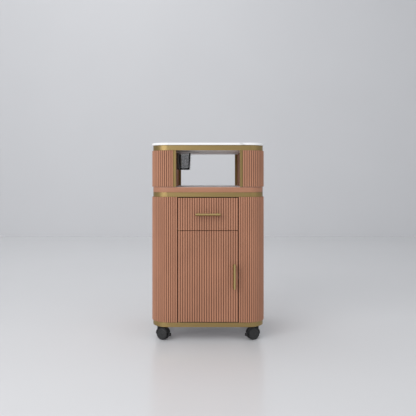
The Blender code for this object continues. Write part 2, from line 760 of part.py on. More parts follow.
# ---------------------------------------------------------------- casters
def caster_housing(name, parent, braked):
    """Web, hood, swivel boss, stem and axle, as one moulding with its pressed-in pins."""
    web = arc(AXLE, WEB_TOE, 200, 340, 8)
    web += arc(AXLE, HOOD_INNER + WEB_IN_HOOD, 16, 146, 10)
    web += [(BOSS_RADIUS, WEB_SHOULDER), (BOSS_RADIUS, BOSS_TOP), (-BOSS_RADIUS, BOSS_TOP)]
    web += [(-BOSS_RADIUS, WEB_HEEL), WEB_THROAT]
    housing = as_mesh(plate(name, [web], -WEB_HALF, WEB_HALF, NYLON, parent, upright=True))
    hood = arc(AXLE, HOOD_OUTER, HOOD_START, HOOD_END, 18)
    hood += arc(AXLE, HOOD_INNER, HOOD_END, HOOD_START, 18)
    cover = plate("hood", [hood], -HOOD_HALF, HOOD_HALF, None, parent, upright=True, collection=CUTTERS)
    boolean(housing, as_cutter(as_mesh(cover)), "UNION")
    middle = (BOSS_BOTTOM + BOSS_TOP) / 2
    boss = cylinder("swivel_boss", BOSS_RADIUS, BOSS_TOP - BOSS_BOTTOM, (0, 0, middle), "Z", parent)
    boolean(housing, boss, "UNION")
    stem_top = BASE_BOTTOM + STEM_DEPTH
    middle = (BOSS_BOTTOM + stem_top) / 2
    stem = cylinder("stem", STEM_RADIUS, stem_top - BOSS_BOTTOM, (0, 0, middle), "Z", parent, 16)
    boolean(housing, stem, "UNION")
    pin = cylinder("axle", AXLE_RADIUS, AXLE_LENGTH, (AXLE[0], 0, AXLE[1]), "Y", parent, 16)
    boolean(housing, pin, "UNION")
    if braked:
        pivot_x, pivot_z = PEDAL_PIVOT
        slot_half = PEDAL_TONGUE / 2 + GAP
        slot = block(
            "pedal_slot",
            (pivot_x + PEDAL_SLOT_LOW[0], -slot_half, pivot_z + PEDAL_SLOT_LOW[1]),
            (pivot_x + PEDAL_SLOT_HIGH[0], slot_half, pivot_z + PEDAL_SLOT_HIGH[1]),
            None,
            parent,
            collection=CUTTERS,
        )
        boolean(housing, as_cutter(slot), "DIFFERENCE")
        place = (pivot_x, 0, pivot_z)
        pivot = cylinder("pedal_pin", PEDAL_PIN_RADIUS, PEDAL_PIN_LENGTH, place, "Y", parent, 12)
        boolean(housing, pivot, "UNION")
    return housing


def brake_pedal(name, parent):
    """A tongue that turns on its pin between the wheels, and a pad in front of the hood."""
    pivot_x, pivot_z = PEDAL_PIVOT
    pad_x = (PAD_LOW[0] + PAD_HIGH[0]) / 2
    tongue = arc(PEDAL_PIVOT, PEDAL_NOSE, 50, 225, 8)
    tongue += [(pad_x, PAD_LOW[1] + PAD_EDGE), (pad_x + PAD_EDGE, PAD_HIGH[1] - PAD_EDGE)]
    half = PEDAL_TONGUE / 2
    pedal = as_mesh(plate(name, [tongue], -half, half, NYLON, parent, upright=True))
    pad = block(
        "pedal_pad",
        (PAD_LOW[0], -PAD_HALF, PAD_LOW[1]),
        (PAD_HIGH[0], PAD_HALF, PAD_HIGH[1]),
        None,
        parent,
        bevel=PAD_EDGE,
        collection=CUTTERS,
    )
    boolean(pedal, as_cutter(pad), "UNION")
    radius = PEDAL_PIN_RADIUS + AXLE_CLEARANCE
    place = (pivot_x, 0, pivot_z)
    bore = cylinder("pedal_bore", radius, 2 * PEDAL_PIN_LENGTH, place, "Y", parent, 12)
    return boolean(pedal, bore, "DIFFERENCE")


def wheel_profile():
    """Half section of a wheel: flat closed outer face, rounded tread, and a blind bore inside."""
    bore = AXLE_RADIUS + AXLE_CLEARANCE
    dish = WHEEL_WIDTH - WHEEL_DISH
    shoulder = WHEEL_RADIUS - TREAD_SHOULDER
    return [
        (0.0, dish),
        (WHEEL_DISH_RADIUS, dish),
        (WHEEL_RIM_RADIUS, WHEEL_WIDTH),
        (shoulder, WHEEL_WIDTH - TREAD_SHOULDER / 2),
        (WHEEL_RADIUS, WHEEL_WIDTH - 2 * TREAD_SHOULDER),
        (WHEEL_RADIUS, 2 * TREAD_SHOULDER),
        (shoulder, TREAD_SHOULDER / 2),
        (WHEEL_DISH_RADIUS, 0.0),
        (bore, 0.0),
        (bore, WHEEL_BORE_DEPTH),
        (0.0, WHEEL_BORE_DEPTH),
    ]


def build_casters():
    for depth_name, depth_side in (("front", -1), ("rear", 1)):
        for name, side in (("left", -1), ("right", 1)):
            label = f"{depth_name}_{name}"
            trail = Vector((-side * math.cos(CASTER_TOE), depth_side * math.sin(CASTER_TOE)))
            heading = math.atan2(trail.y, trail.x)
            place = (side * STEM_X, depth_side * STEM_Y, 0)
            caster = new_empty(f"{label}_caster", place, TROLLEY, heading)
            braked = depth_name == "front"
            caster_housing(f"{label}_caster_housing", caster, braked)
            if braked:
                brake_pedal(f"{label}_brake_pedal", caster)
            for wheel_side in (-1, 1):
                # The wheel that faces the front is the one whose side of the axle points to -Y.
                faces_front = wheel_side * math.cos(heading) < 0
                wheel_name = f"{label}_wheel_{'fore' if faces_front else 'aft'}"
                wheel = turned(wheel_name, wheel_profile(), NYLON, WHEEL_STEPS)
                wheel.location = (CASTER_TRAIL, wheel_side * WHEEL_GAP_HALF, WHEEL_RADIUS)
                wheel.rotation_euler.x = -wheel_side * math.pi / 2
                wheel.parent = caster
                PARTS.objects.link(wheel)


# ---------------------------------------------------------------- assembly
build_base()
build_cabinet_shells()
build_cabinet_inside()
banded_board(
    "cabinet_top_board",
    "middle_band",
    CABINET_TOP + GAP,
    NICHE_FLOOR_BOTTOM - GAP,
    NICHE_FLOOR_BOTTOM - GAP,
    LAMINATE,
)
build_niche()
build_top()
build_drawer()
build_slides()
build_door()
build_hinge_and_catch()
build_bin()
build_casters()
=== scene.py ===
"""Looks of the fluted spa trolley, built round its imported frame. Metres, +Z up, front towards -Y."""

import json
import math

import bmesh
import bpy
from mathutils import Matrix, Vector


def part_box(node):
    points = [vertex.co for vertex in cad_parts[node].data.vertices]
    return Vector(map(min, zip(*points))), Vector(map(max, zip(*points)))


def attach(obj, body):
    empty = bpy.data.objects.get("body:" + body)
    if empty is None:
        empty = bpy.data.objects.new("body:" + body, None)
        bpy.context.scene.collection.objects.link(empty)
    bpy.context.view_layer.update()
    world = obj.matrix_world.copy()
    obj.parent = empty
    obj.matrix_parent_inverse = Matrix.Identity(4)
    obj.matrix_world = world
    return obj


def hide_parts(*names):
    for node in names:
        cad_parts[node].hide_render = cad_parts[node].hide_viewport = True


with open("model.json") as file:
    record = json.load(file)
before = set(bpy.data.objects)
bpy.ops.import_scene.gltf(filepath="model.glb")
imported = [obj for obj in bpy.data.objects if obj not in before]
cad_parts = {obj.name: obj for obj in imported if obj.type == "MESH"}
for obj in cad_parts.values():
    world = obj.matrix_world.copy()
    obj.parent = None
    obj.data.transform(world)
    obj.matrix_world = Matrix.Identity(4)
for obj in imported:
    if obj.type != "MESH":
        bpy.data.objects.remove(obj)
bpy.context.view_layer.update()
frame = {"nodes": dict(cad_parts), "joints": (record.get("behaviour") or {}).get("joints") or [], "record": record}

# -------------------------------- sizes that the frame doesn't name
CORNER = 0.070  # plan radius over the flute tips
FLUTE_PITCH = 0.0088
FLUTE_DEPTH = 0.0042
FLUTE_SAMPLES = 8
FLUTE_END = 0.0008  # how much the flutes are eased at their top and bottom
FRONT_FLUTES = 25
BACK_FLUTES = 28
WALL = 0.012
BAND_INSET = 0.004
BAND_SHEET = 0.0015
BAND_EDGE = 0.0004
NICHE_FLOOR_EDGE = 0.0010
LAMINATE_SHEET = 0.0008
LAMINATE_EDGE = 0.0003
SLAB_EDGE = 0.0016
PIECE_GAP = 0.0003  # clear space between neighbouring frame solids
ARC_STEPS = 20

PULL_BAR = 0.009  # thickness of a pull's bar, front to back
PULL_CUT_DEPTH = 0.50  # part of the bar's thickness at which its grip side is cut back
PULL_CUT_WIDTH = 0.32  # part of the bar's half width at which the cut meets the front
PULL_EDGE = 0.0004
PULL_END_EDGE = 0.0005
PULL_POST_SPACING = 0.038  # from the middle of the pull to each post
PULL_POST_RADIUS = 0.0034
PULL_POST_GRIP = 0.002  # how far a post is set into the bar

SMALL_SCREW, BOARD_SCREW, PULL_SCREW = 0.0020, 0.0030, 0.0038  # head radii
HINGE_SHEET = 0.0016
SLIDE_SHEET = 0.0012
RAIL_SHEET = 0.001

BIN_HANG = 0.003  # from the back of the bin's lip to the wall it hangs by
BIN_SHEET = 0.005
BIN_HANGING_SIDE = 0.0082  # from the back of the bin's lip to just inside that wall
BIN_CORNER, BIN_INNER_CORNER = 0.0015, 0.0006
BIN_TAPER_X, BIN_TAPER_Y = 0.004, 0.008
BIN_FOOT = 0.0015
BIN_RIM, BIN_RIM_EDGE = 0.0006, 0.0005

BODY_OF = {
    node: body for body, nodes in frame["record"]["behaviour"]["bodies"].items() for node in nodes
}
JOINTS = {joint["name"]: joint for joint in frame["joints"]}
SIDES = (("left", -1), ("right", 1))
SLAB_LOW, SLAB_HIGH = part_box("worktop_slab")
MIDDLE_Y = (SLAB_LOW.y + SLAB_HIGH.y) / 2
FLUTES_LOW, FLUTES_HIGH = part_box("left_fluted_shell")
HALF_X = -FLUTES_LOW.x
HALF_Y = (FLUTES_HIGH.y - FLUTES_LOW.y) / 2
FRONT_Y = FLUTES_LOW.y
DOOR_BACK_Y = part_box("door_panel")[1].y


# -------------------------------- material nodes
def start_material(name, colour, roughness, metallic=0.0):
    material = bpy.data.materials.new(name)
    material.use_nodes = True
    tree = material.node_tree
    shader = tree.nodes["Principled BSDF"]
    shader.inputs["Base Color"].default_value = (*colour, 1.0)
    shader.inputs["Roughness"].default_value = roughness
    shader.inputs["Metallic"].default_value = metallic
    return material, tree, shader


def add_node(tree, kind, inputs, **settings):
    """A node with its settings and inputs. An input given as a socket is linked."""
    node = tree.nodes.new(kind)
    for key, value in settings.items():
        setattr(node, key, value)
    for key, value in inputs.items():
        if isinstance(value, bpy.types.NodeSocket):
            tree.links.new(value, node.inputs[key])
        else:
            node.inputs[key].default_value = value
    return node


def stretched_noise(tree, stretch, scale, detail=3.0, roughness=0.55):
    """Noise in the object's own coordinates, drawn out along the axes with a small stretch value."""
    place = add_node(tree, "ShaderNodeTexCoord", {}).outputs["Object"]
    mapping = add_node(tree, "ShaderNodeMapping", {"Vector": place, "Scale": stretch})
    inputs = {"Scale": scale, "Detail": detail, "Roughness": roughness}
    noise = add_node(tree, "ShaderNodeTexNoise", {"Vector": mapping.outputs["Vector"], **inputs})
    return noise.outputs["Fac"]


def ramp(tree, fac, low, high, start=0.0, end=1.0):
    """A value or a colour that runs from low to high as fac goes from start to end."""
    if isinstance(low, tuple):
        node = add_node(tree, "ShaderNodeMix", {}, data_type="RGBA")
        spread = ramp(tree, fac, 0.0, 1.0, start, end)
        tree.links.new(spread, node.inputs[0])
        node.inputs[6].default_value = (*low, 1.0)
        node.inputs[7].default_value = (*high, 1.0)
        return node.outputs[2]
    inputs = {"Value": fac, "From Min": start, "From Max": end, "To Min": low, "To Max": high}
    return add_node(tree, "ShaderNodeMapRange", inputs).outputs["Result"]


def bump(tree, shader, height, strength, distance):
    inputs = {"Height": height, "Strength": strength, "Distance": distance}
    node = add_node(tree, "ShaderNodeBump", inputs)
    tree.links.new(node.outputs["Normal"], shader.inputs["Normal"])


def tinted(colour, factor):
    return tuple(channel * factor for channel in colour)


def multiplied(tree, first, second):
    """The product of two colours."""
    node = add_node(tree, "ShaderNodeMix", {}, data_type="RGBA", blend_type="MULTIPLY")
    node.inputs[0].default_value = 1.0
    tree.links.new(first, node.inputs[6])
    tree.links.new(second, node.inputs[7])
    return node.outputs[2]


def lacquer_material(name, colour, roughness, specular, fluted=False):
    """Pink lacquer. On fluted boards it is painted lighter on the ridges and darker down in the grooves, painted
    light and painted shade.
    """
    material, tree, shader = start_material(name, colour, roughness)
    cloud = stretched_noise(tree, (1, 1, 0.6), 9)
    shade = ramp(tree, cloud, tinted(colour, 0.93), tinted(colour, 1.07), 0.3, 0.7)
    if fluted:
        dip = add_node(tree, "ShaderNodeAttribute", {}, attribute_name="groove")
        # Painted shade in the grooves and painted light on the ridges.
        depth = ramp(tree, dip.outputs["Fac"], RIDGE_PAINTED_LIGHT, GROOVE_PAINTED_SHADE, 0.15, 0.80)
        shade = multiplied(tree, shade, depth)
    tree.links.new(shade, shader.inputs["Base Color"])
    grain = stretched_noise(tree, (1, 1, 0.25), 700)
    spread = (roughness - 0.04, roughness + 0.08)
    tree.links.new(ramp(tree, grain, *spread, 0.3, 0.7), shader.inputs["Roughness"])
    bump(tree, shader, grain, 0.12, 0.0003)
    shader.inputs["Specular IOR Level"].default_value = specular
    return material


def brass_material(name, stretch, colour=(0.385, 0.274, 0.116), roughness=0.42):
    """Brushed brass. The brush marks run along the axis whose stretch value is small."""
    material, tree, shader = start_material(name, colour, roughness, metallic=1.0)
    streak = stretched_noise(tree, stretch, 1.0, detail=4.0, roughness=0.7)
    shade = ramp(tree, streak, tinted(colour, 0.84), tinted(colour, 1.12), 0.3, 0.7)
    tree.links.new(shade, shader.inputs["Base Color"])
    spread = ramp(tree, streak, 0.86 * roughness, 1.2 * roughness, 0.3, 0.7)
    tree.links.new(spread, shader.inputs["Roughness"])
    bump(tree, shader, streak, 0.10, 0.0002)
    return material


def stone_material():
    """White stone, clouded, with a few thin grey veins."""
    colour = (0.96, 0.96, 0.955)
    material, tree, shader = start_material("honed_white_stone", colour, 0.22)
    warp = stretched_noise(tree, (1, 1.4, 1), 5, detail=6.0, roughness=0.62)
    inputs = {"Scale": 1.6, "Distortion": 14.0, "Detail": 4.0, "Detail Scale": 1.6}
    inputs["Vector"] = add_node(tree, "ShaderNodeTexCoord", {}).outputs["Object"]
    bands = {"wave_type": "BANDS", "bands_direction": "DIAGONAL"}
    vein = add_node(tree, "ShaderNodeTexWave", inputs, **bands)
    thin = ramp(tree, vein.outputs["Fac"], 0.0, 1.0, 0.0, 0.045)
    veined = ramp(tree, thin, (0.70, 0.70, 0.70), colour)
    cloud = ramp(tree, warp, (0.96, 0.96, 0.955), (1, 1, 1), 0.3, 0.6)
    tree.links.new(multiplied(tree, veined, cloud), shader.inputs["Base Color"])
    tree.links.new(ramp(tree, warp, 0.18, 0.28, 0.3, 0.7), shader.inputs["Roughness"])
    return material


# The default colour is tinted slightly pink, painted pink bounce light from the lacquered walls.
def laminate_material(name, colour=(0.64, 0.60, 0.585), shade_line=None):
    """Pale laminate. With a line, it is painted dark in front of that Y, painted shade in the gap under the door,
    but not underneath, where it is painted paler, painted light under the trolley.
    """
    material, tree, shader = start_material(name, colour, 0.5)
    speckle = stretched_noise(tree, (1, 1, 1), 900, detail=2.0)
    shade = ramp(tree, speckle, tinted(colour, 0.94), tinted(colour, 1.05), 0.3, 0.7)
    if shade_line is not None:
        place = add_node(tree, "ShaderNodeTexCoord", {}).outputs
        facing = add_node(tree, "ShaderNodeSeparateXYZ", {"Vector": place["Normal"]}).outputs["Z"]
        depth = add_node(tree, "ShaderNodeSeparateXYZ", {"Vector": place["Object"]}).outputs["Y"]
        under = ramp(tree, facing, 1.0, 0.0, -0.6, -0.5)
        behind = ramp(tree, depth, 0.0, 1.0, shade_line, shade_line + 0.0005)
        kept = add_node(tree, "ShaderNodeMath", {0: under, 1: behind}, operation="MAXIMUM")
        # Painted light: the underside is painted paler.
        pale = ramp(tree, under, (1.0, 1.0, 1.0), UNDERSIDE_PAINTED_LIGHT)
        shade = multiplied(tree, shade, pale)
        # Painted shade: in front of the line the board is painted dark, where the gap under the door lies in
        # shade.
        gap_shade = ramp(tree, kept.outputs["Value"], GAP_PAINTED_SHADE, (1.0, 1.0, 1.0))
        shade = multiplied(tree, shade, gap_shade)
    tree.links.new(shade, shader.inputs["Base Color"])
    tree.links.new(ramp(tree, speckle, 0.44, 0.56, 0.3, 0.7), shader.inputs["Roughness"])
    bump(tree, shader, speckle, 0.10, 0.0002)
    return material


def zinc_material():
    """Bright zinc plate with a cloudy bloom."""
    colour = (0.56, 0.57, 0.59)
    material, tree, shader = start_material("bright_zinc", colour, 0.32, metallic=1.0)
    bloom = stretched_noise(tree, (1, 1, 1), 120, detail=5.0)
    shade = ramp(tree, bloom, tinted(colour, 0.85), tinted(colour, 1.1), 0.3, 0.7)
    tree.links.new(shade, shader.inputs["Base Color"])
    tree.links.new(ramp(tree, bloom, 0.24, 0.44, 0.3, 0.7), shader.inputs["Roughness"])
    return material


def moulded_material(name, colour, roughness, grain_size=1400):
    """Moulded plastic or powder coat with a fine grain."""
    material, tree, shader = start_material(name, colour, roughness)
    grain = stretched_noise(tree, (1, 1, 1), grain_size, detail=2.0)
    shade = ramp(tree, grain, tinted(colour, 0.8), tinted(colour, 1.25), 0.3, 0.7)
    tree.links.new(shade, shader.inputs["Base Color"])
    spread = (roughness - 0.06, roughness + 0.08)
    tree.links.new(ramp(tree, grain, *spread, 0.3, 0.7), shader.inputs["Roughness"])
    bump(tree, shader, grain, 0.15, 0.0002)
    return material


def acrylic_material():
    """Clear surfaces round a grey-absorbing body, darkest edge on. On the side it hangs by it is matt and painted
    near black, painted shade of the wall behind.
    """
    material, tree, shader = start_material("smoked_acrylic", (0.97, 0.97, 0.97), 0.03)
    shader.inputs["IOR"].default_value = 1.2
    haze = ramp(tree, stretched_noise(tree, (1, 1, 0.4), 60, detail=4.0), 0.02, 0.08, 0.35, 0.75)
    place = add_node(tree, "ShaderNodeTexCoord", {}).outputs["Object"]
    across = add_node(tree, "ShaderNodeSeparateXYZ", {"Vector": place}).outputs["X"]
    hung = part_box("smoked_bin")[0].x + BIN_HANGING_SIDE
    clear_from = hung + 0.0002
    matt = ramp(tree, across, 0.6, 0.0, hung, clear_from)
    rough = add_node(tree, "ShaderNodeMath", {0: haze, 1: matt}, operation="MAXIMUM")
    tree.links.new(rough.outputs["Value"], shader.inputs["Roughness"])
    # Painted shade: near black on the side it hangs by, where the wall behind lies in shade.
    colour = ramp(tree, across, (0.045, 0.034, 0.027), (0.97, 0.97, 0.97), hung, clear_from)
    tree.links.new(colour, shader.inputs["Base Color"])
    clear = ramp(tree, across, 0.0, 1.0, hung, clear_from)
    tree.links.new(clear, shader.inputs["Transmission Weight"])
    inputs = {"Color": (0.0, 0.0, 0.0, 1.0), "Density": 140.0}
    smoke = add_node(tree, "ShaderNodeVolumeAbsorption", inputs)
    output = tree.nodes["Material Output"]
    tree.links.new(smoke.outputs["Volume"], output.inputs["Volume"])
    return material


PINK = (0.370, 0.173, 0.104)
# Painted light on the ridges and painted shade in the grooves of fluted boards; flat faces count as shallow
# grooves.
RIDGE_PAINTED_LIGHT = (1.27, 1.27, 1.27)
GROOVE_PAINTED_SHADE = (0.08, 0.07, 0.065)
FLAT_FACE = 0.2  # stands for a groove's depth on the flat faces of a fluted board
# Painted shade in the gap under the door, and painted light on the base board's underside.
GAP_PAINTED_SHADE = (0.14, 0.08, 0.055)
UNDERSIDE_PAINTED_LIGHT = (1.25, 1.27, 1.30)
# Colours and roughnesses of brass.
# The trims' brass is painted darker than the bands' brass, painted shade.
SHADED_TRIM = ((0.335, 0.237, 0.098), 0.42)
# Pulls: a lighter brass for the front faces, painted highlight, and a darker brass for the grip side, painted
# shade.
LIT_POLISHED = ((0.62, 0.455, 0.20), 0.30)
SHADED_BRUSHED = ((0.30, 0.21, 0.085), 0.36)
# Directions of its brush marks, which run along the axis with the small value.
ROUND, UPRIGHT, ACROSS = (6, 6, 1400), (1400, 1400, 6), (6, 1400, 1400)
# Each finish is a material with its slot.
LACQUER = (lacquer_material("satin_pink_lacquer", tinted(PINK, 1.165), 0.42, 0.35), "pink_lacquer")
FLUTED = (lacquer_material("fluted_pink_lacquer", PINK, 0.42, 0.35, fluted=True), "pink_lacquer")
# The niche walls' pink is painted 1.3 times the body's pink, lighter than the satin lacquer, painted light in the
# shaded niche.
LIT_MATT_PINK = (lacquer_material("lit_matt_pink_lacquer", tinted(PINK, 1.3), 0.70, 0.10), "pink_lacquer")
BRASS_ROUND = (brass_material("brass_brushed_round", ROUND), "brushed_brass")
BRASS_UPRIGHT = (brass_material("brass_brushed_upright", UPRIGHT, *SHADED_TRIM), "brushed_brass")
PULL_UPRIGHT = (brass_material("pull_lit_brass_upright", UPRIGHT, *LIT_POLISHED), "brushed_brass")
PULL_ACROSS = (brass_material("pull_lit_brass_across", ACROSS, *LIT_POLISHED), "brushed_brass")
GRIP_SHADE_UPRIGHT = (brass_material("grip_shade_brass_upright", UPRIGHT, *SHADED_BRUSHED), "brushed_brass")
GRIP_SHADE_ACROSS = (brass_material("grip_shade_brass_across", ACROSS, *SHADED_BRUSHED), "brushed_brass")
STONE = (stone_material(), "white_stone")
LAMINATE = (laminate_material("matt_white_laminate"), "white_laminate")
# The top board's laminate is painted paler and pinker than the other boards, painted light on the shaded underside
# of the top.
LIT_TOP_BOARD = (laminate_material("lit_top_laminate", (0.80, 0.755, 0.735)), "white_laminate")
GAP_SHADED = (laminate_material("gap_shaded_laminate", shade_line=DOOR_BACK_Y), "white_laminate")
ZINC = (zinc_material(), "zinc_steel")
NYLON = (moulded_material("black_nylon", (0.011, 0.011, 0.0115), 0.46), "black_nylon")
HUB = (moulded_material("hub_nylon", (0.017, 0.017, 0.0175), 0.42), "black_nylon")
TREAD = (moulded_material("tread_black", (0.008, 0.008, 0.0085), 0.55, 900), "black_nylon")
POWDER = (moulded_material("black_powder_coat", (0.022, 0.022, 0.022), 0.5, 1800), "black_steel")
ACRYLIC = (acrylic_material(), "smoked_acrylic")


# -------------------------------- mesh helpers
def new_piece(name, mesh, finish, body, replaces=(), sharp=35):
    """A piece of the object: shaded smooth up to an angle, with its finish, riding on its body."""
    mesh.shade_smooth()
    mesh.set_sharp_from_angle(angle=math.radians(sharp))
    obj = bpy.data.objects.new(name, mesh)
    bpy.context.scene.collection.objects.link(obj)
    material, slot = finish
    if not mesh.materials:
        mesh.materials.append(material)
    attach(obj, body)
    if replaces:
        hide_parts(*replaces)


def stand_in(name, mesh, finish, node, sharp=35):
    """A fine piece that is shown in place of a frame node and rides on the same body."""
    new_piece(name, mesh, finish, BODY_OF[node], (node,), sharp)


def as_mesh(name, shape):
    """Turns a bmesh into a mesh with its faces pointing out."""
    bmesh.ops.recalc_face_normals(shape, faces=shape.faces)
    mesh = bpy.data.meshes.new(name)
    shape.to_mesh(mesh)
    shape.free()
    return mesh


def loft(name, rings, closed=False):
    """Closed loops of points joined by quads. An open run gets a face at each end."""
    shape = bmesh.new()
    rows = [[shape.verts.new(point) for point in ring] for ring in rings]
    pairs = list(zip(rows, rows[1:]))
    if closed:
        pairs.append((rows[-1], rows[0]))
    for first, second in pairs:
        for i in range(len(first)):
            j = (i + 1) % len(first)
            shape.faces.new((first[i], first[j], second[j], second[i]))
    if not closed:
        shape.faces.new(rows[0])
        shape.faces.new(rows[-1])
    return as_mesh(name, shape)


def sweep(name, path, section, closed=False):
    """A section of (inset, height) points carried along a plan path of (point, normal, dip)."""
    rings = []
    for point, normal, dip in path:
        ring = []
        for inset, height in section(dip):
            place = point - normal * inset
            ring.append((place.x, place.y, height))
        rings.append(ring)
    return loft(name, rings, closed)


def mark_grooves(mesh, path, rows):
    """Stores how deep each corner lies in a groove, from 0 on a ridge to 1, for the lacquer's painted groove
    shade.

    The last two rows of a section are the back of the board. Faces that reach them are flat.
    """
    groove = mesh.attributes.new("groove", "FLOAT", "CORNER")
    values = [0.0] * len(mesh.loops)
    for face in mesh.polygons:
        flat = any(vertex % rows >= rows - 2 for vertex in face.vertices)
        for corner, vertex in zip(face.loop_indices, face.vertices):
            values[corner] = FLAT_FACE if flat else path[vertex // rows][2] / FLUTE_DEPTH
    groove.data.foreach_set("value", values)
    return mesh


def board_section(wall, low, high, edge):
    """Section of an upright board: its outer face dips with the flutes, and its long edges are eased.

    A second point next to each eased edge keeps the shading of the tall face flat.
    """

    def section(dip):
        return [
            (dip + edge, low),
            (dip + 0.3 * edge, low + 0.3 * edge),
            (dip, low + edge),
            (dip, low + 2 * edge),
            (dip, high - 2 * edge),
            (dip, high - edge),
            (dip + 0.3 * edge, high - 0.3 * edge),
            (dip + edge, high),
            (wall, high),
            (wall, low),
        ]

    return section


def round_plan(half_x, half_y, radius, centre_y=MIDDLE_Y, centre_x=0.0, steps=ARC_STEPS):
    """Points of a rounded rectangle with their outward normals."""
    path = []
    for quarter, (side_x, side_y) in enumerate(((1, 1), (-1, 1), (-1, -1), (1, -1))):
        for step in range(steps + 1):
            angle = math.pi / 2 * (quarter + step / steps)
            normal = Vector((math.cos(angle), math.sin(angle)))
            corner_x = centre_x + side_x * (half_x - radius)
            corner_y = centre_y + side_y * (half_y - radius)
            path.append((Vector((corner_x, corner_y)) + normal * radius, normal, 0.0))
    return path


def layered(name, plan, layers):
    """A solid whose plan is drawn in by an inset at each height, with flat ends."""
    rings = []
    for inset, height in layers:
        ring = []
        for point, normal, _ in plan:
            place = point - normal * inset
            ring.append((place.x, place.y, height))
        rings.append(ring)
    return loft(name, rings)


def eased_layers(low, high, edge, steps=4):
    """Insets and heights of a board with rounded top and bottom edges."""
    turn = [math.pi / 2 * step / steps for step in range(steps + 1)]
    bottom = [(edge * (1 - math.sin(a)), low + edge * (1 - math.cos(a))) for a in turn]
    top = [(edge * (1 - math.cos(a)), high - edge * (1 - math.sin(a))) for a in turn]
    return bottom + top


def rounded_box(name, low, high, edge, segments=3):
    """A box between two corner points, its edges rounded."""
    low = Vector(low)
    high = Vector(high)
    shape = bmesh.new()
    place = Matrix.Translation((low + high) / 2) @ Matrix.Diagonal((*(high - low), 1.0))
    bmesh.ops.create_cube(shape, size=1.0, matrix=place)
    bmesh.ops.bevel(
        shape, geom=shape.edges[:], offset=edge, segments=segments, profile=0.5, affect="EDGES"
    )
    return as_mesh(name, shape)


def lathe(name, profile, place=Matrix.Identity(4), steps=48, closed=False):
    """A profile of (radius, height) points turned about Z, then put in place by a matrix."""
    rings = []
    for radius, height in profile:
        ring = []
        for step in range(steps):
            angle = 2 * math.pi * step / steps
            point = Vector((radius * math.cos(angle), radius * math.sin(angle), height))
            ring.append(place @ point)
        rings.append(ring)
    return loft(name, rings, closed)


def arc(centre, radius, start, end, steps):
    """Points on an arc between two angles in degrees."""
    points = []
    for step in range(steps + 1):
        angle = math.radians(start + (end - start) * step / steps)
        points.append((centre[0] + radius * math.cos(angle), centre[1] + radius * math.sin(angle)))
    return points


def thick_outline(name, outline, low, high, edge, place=Matrix.Identity(4)):
    """A flat outline in XY given a thickness along Z, with bevelled rims, then put in place."""
    shape = bmesh.new()
    base = shape.faces.new([shape.verts.new((x, y, low)) for x, y in outline])
    raised = bmesh.ops.extrude_face_region(shape, geom=[base])["geom"]
    top = [item for item in raised if isinstance(item, bmesh.types.BMVert)]
    bmesh.ops.translate(shape, verts=top, vec=(0, 0, high - low))
    if edge:
        rims = [line for line in shape.edges if abs(line.verts[0].co.z - line.verts[1].co.z) < 1e-7]
        bmesh.ops.bevel(shape, geom=rims, offset=edge, segments=2, profile=0.5, affect="EDGES")
    shape.transform(place)
    return as_mesh(name, shape)


def soften(node, finish, width=0.0006):
    """Gives a plain frame board its finish and small rounded edges."""
    obj = frame["nodes"][node]
    obj.data.materials.clear()
    obj.data.materials.append(finish[0])
    weld = obj.modifiers.new("weld", "WELD")
    weld.merge_threshold = 1e-6
    if width:
        rounding = obj.modifiers.new("rounded_edges", "BEVEL")
        rounding.width = width
        rounding.segments = 2
        rounding.limit_method = "ANGLE"
        rounding.angle_limit = math.radians(40)
        rounding.harden_normals = True


# -------------------------------- fluted boards
def flute_steps(flutes):
    """(part of the way along, dip) of each sample over a run of half-round flutes."""
    steps = []
    for flute in range(flutes):
        for sample in range(FLUTE_SAMPLES):
            angle = math.pi * sample / FLUTE_SAMPLES
            along = (flute + (1 - math.cos(angle)) / 2) / flutes
            steps.append((along, FLUTE_DEPTH * (1 - math.sin(angle))))
    steps.append((1.0, FLUTE_DEPTH))
    return steps


def side_shell_path(edge_x, side):
    """Fluted path round one side of the body, from its front edge to its back edge."""
    front = HALF_X - CORNER - edge_x
    quarter = (CORNER - FLUTE_DEPTH) * math.pi / 2
    length = 2 * (HALF_Y - CORNER)
    total = 2 * front + 2 * quarter + length
    corner_x = HALF_X - CORNER
    corner_y = HALF_Y - CORNER

    def place(distance):
        if distance <= front:
            return Vector((edge_x + distance, -HALF_Y)), Vector((0, -1))
        distance -= front
        if distance <= quarter:
            angle = distance / quarter * math.pi / 2
            normal = Vector((math.sin(angle), -math.cos(angle)))
            return Vector((corner_x, -corner_y)) + normal * CORNER, normal
        distance -= quarter
        if distance <= length:
            return Vector((HALF_X, distance - corner_y)), Vector((1, 0))
        distance -= length
        if distance <= quarter:
            angle = distance / quarter * math.pi / 2
            normal = Vector((math.cos(angle), math.sin(angle)))
            return Vector((corner_x, corner_y)) + normal * CORNER, normal
        distance -= quarter
        return Vector((corner_x - distance, HALF_Y)), Vector((0, 1))

    path = []
    for along, dip in flute_steps(round(total / FLUTE_PITCH)):
        point, normal = place(along * total)
        turned = Vector((side * point.x, point.y + MIDDLE_Y))
        path.append((turned, Vector((side * normal.x, normal.y)), dip))
    return path


def flat_fluted_path(half_width, face_y, facing, flutes):
    """Fluted path across a flat face that looks forward (-1) or back (1)."""
    path = []
    for along, dip in flute_steps(flutes):
        point = Vector(((2 * along - 1) * half_width, face_y))
        path.append((point, Vector((0, facing)), dip))
    return path


def build_fluted_shells():
    for side_name, side in SIDES:
        for node in (f"{side_name}_fluted_shell", f"{side_name}_pillar_shell"):
            low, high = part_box(node)
            edge_x = min(abs(low.x), abs(high.x))
            path = side_shell_path(edge_x, side)
            section = board_section(WALL, low.z, high.z, FLUTE_END)
            mesh = mark_grooves(sweep(node, path, section), path, len(section(0)))
            stand_in(f"{node}_skin", mesh, FLUTED, node)


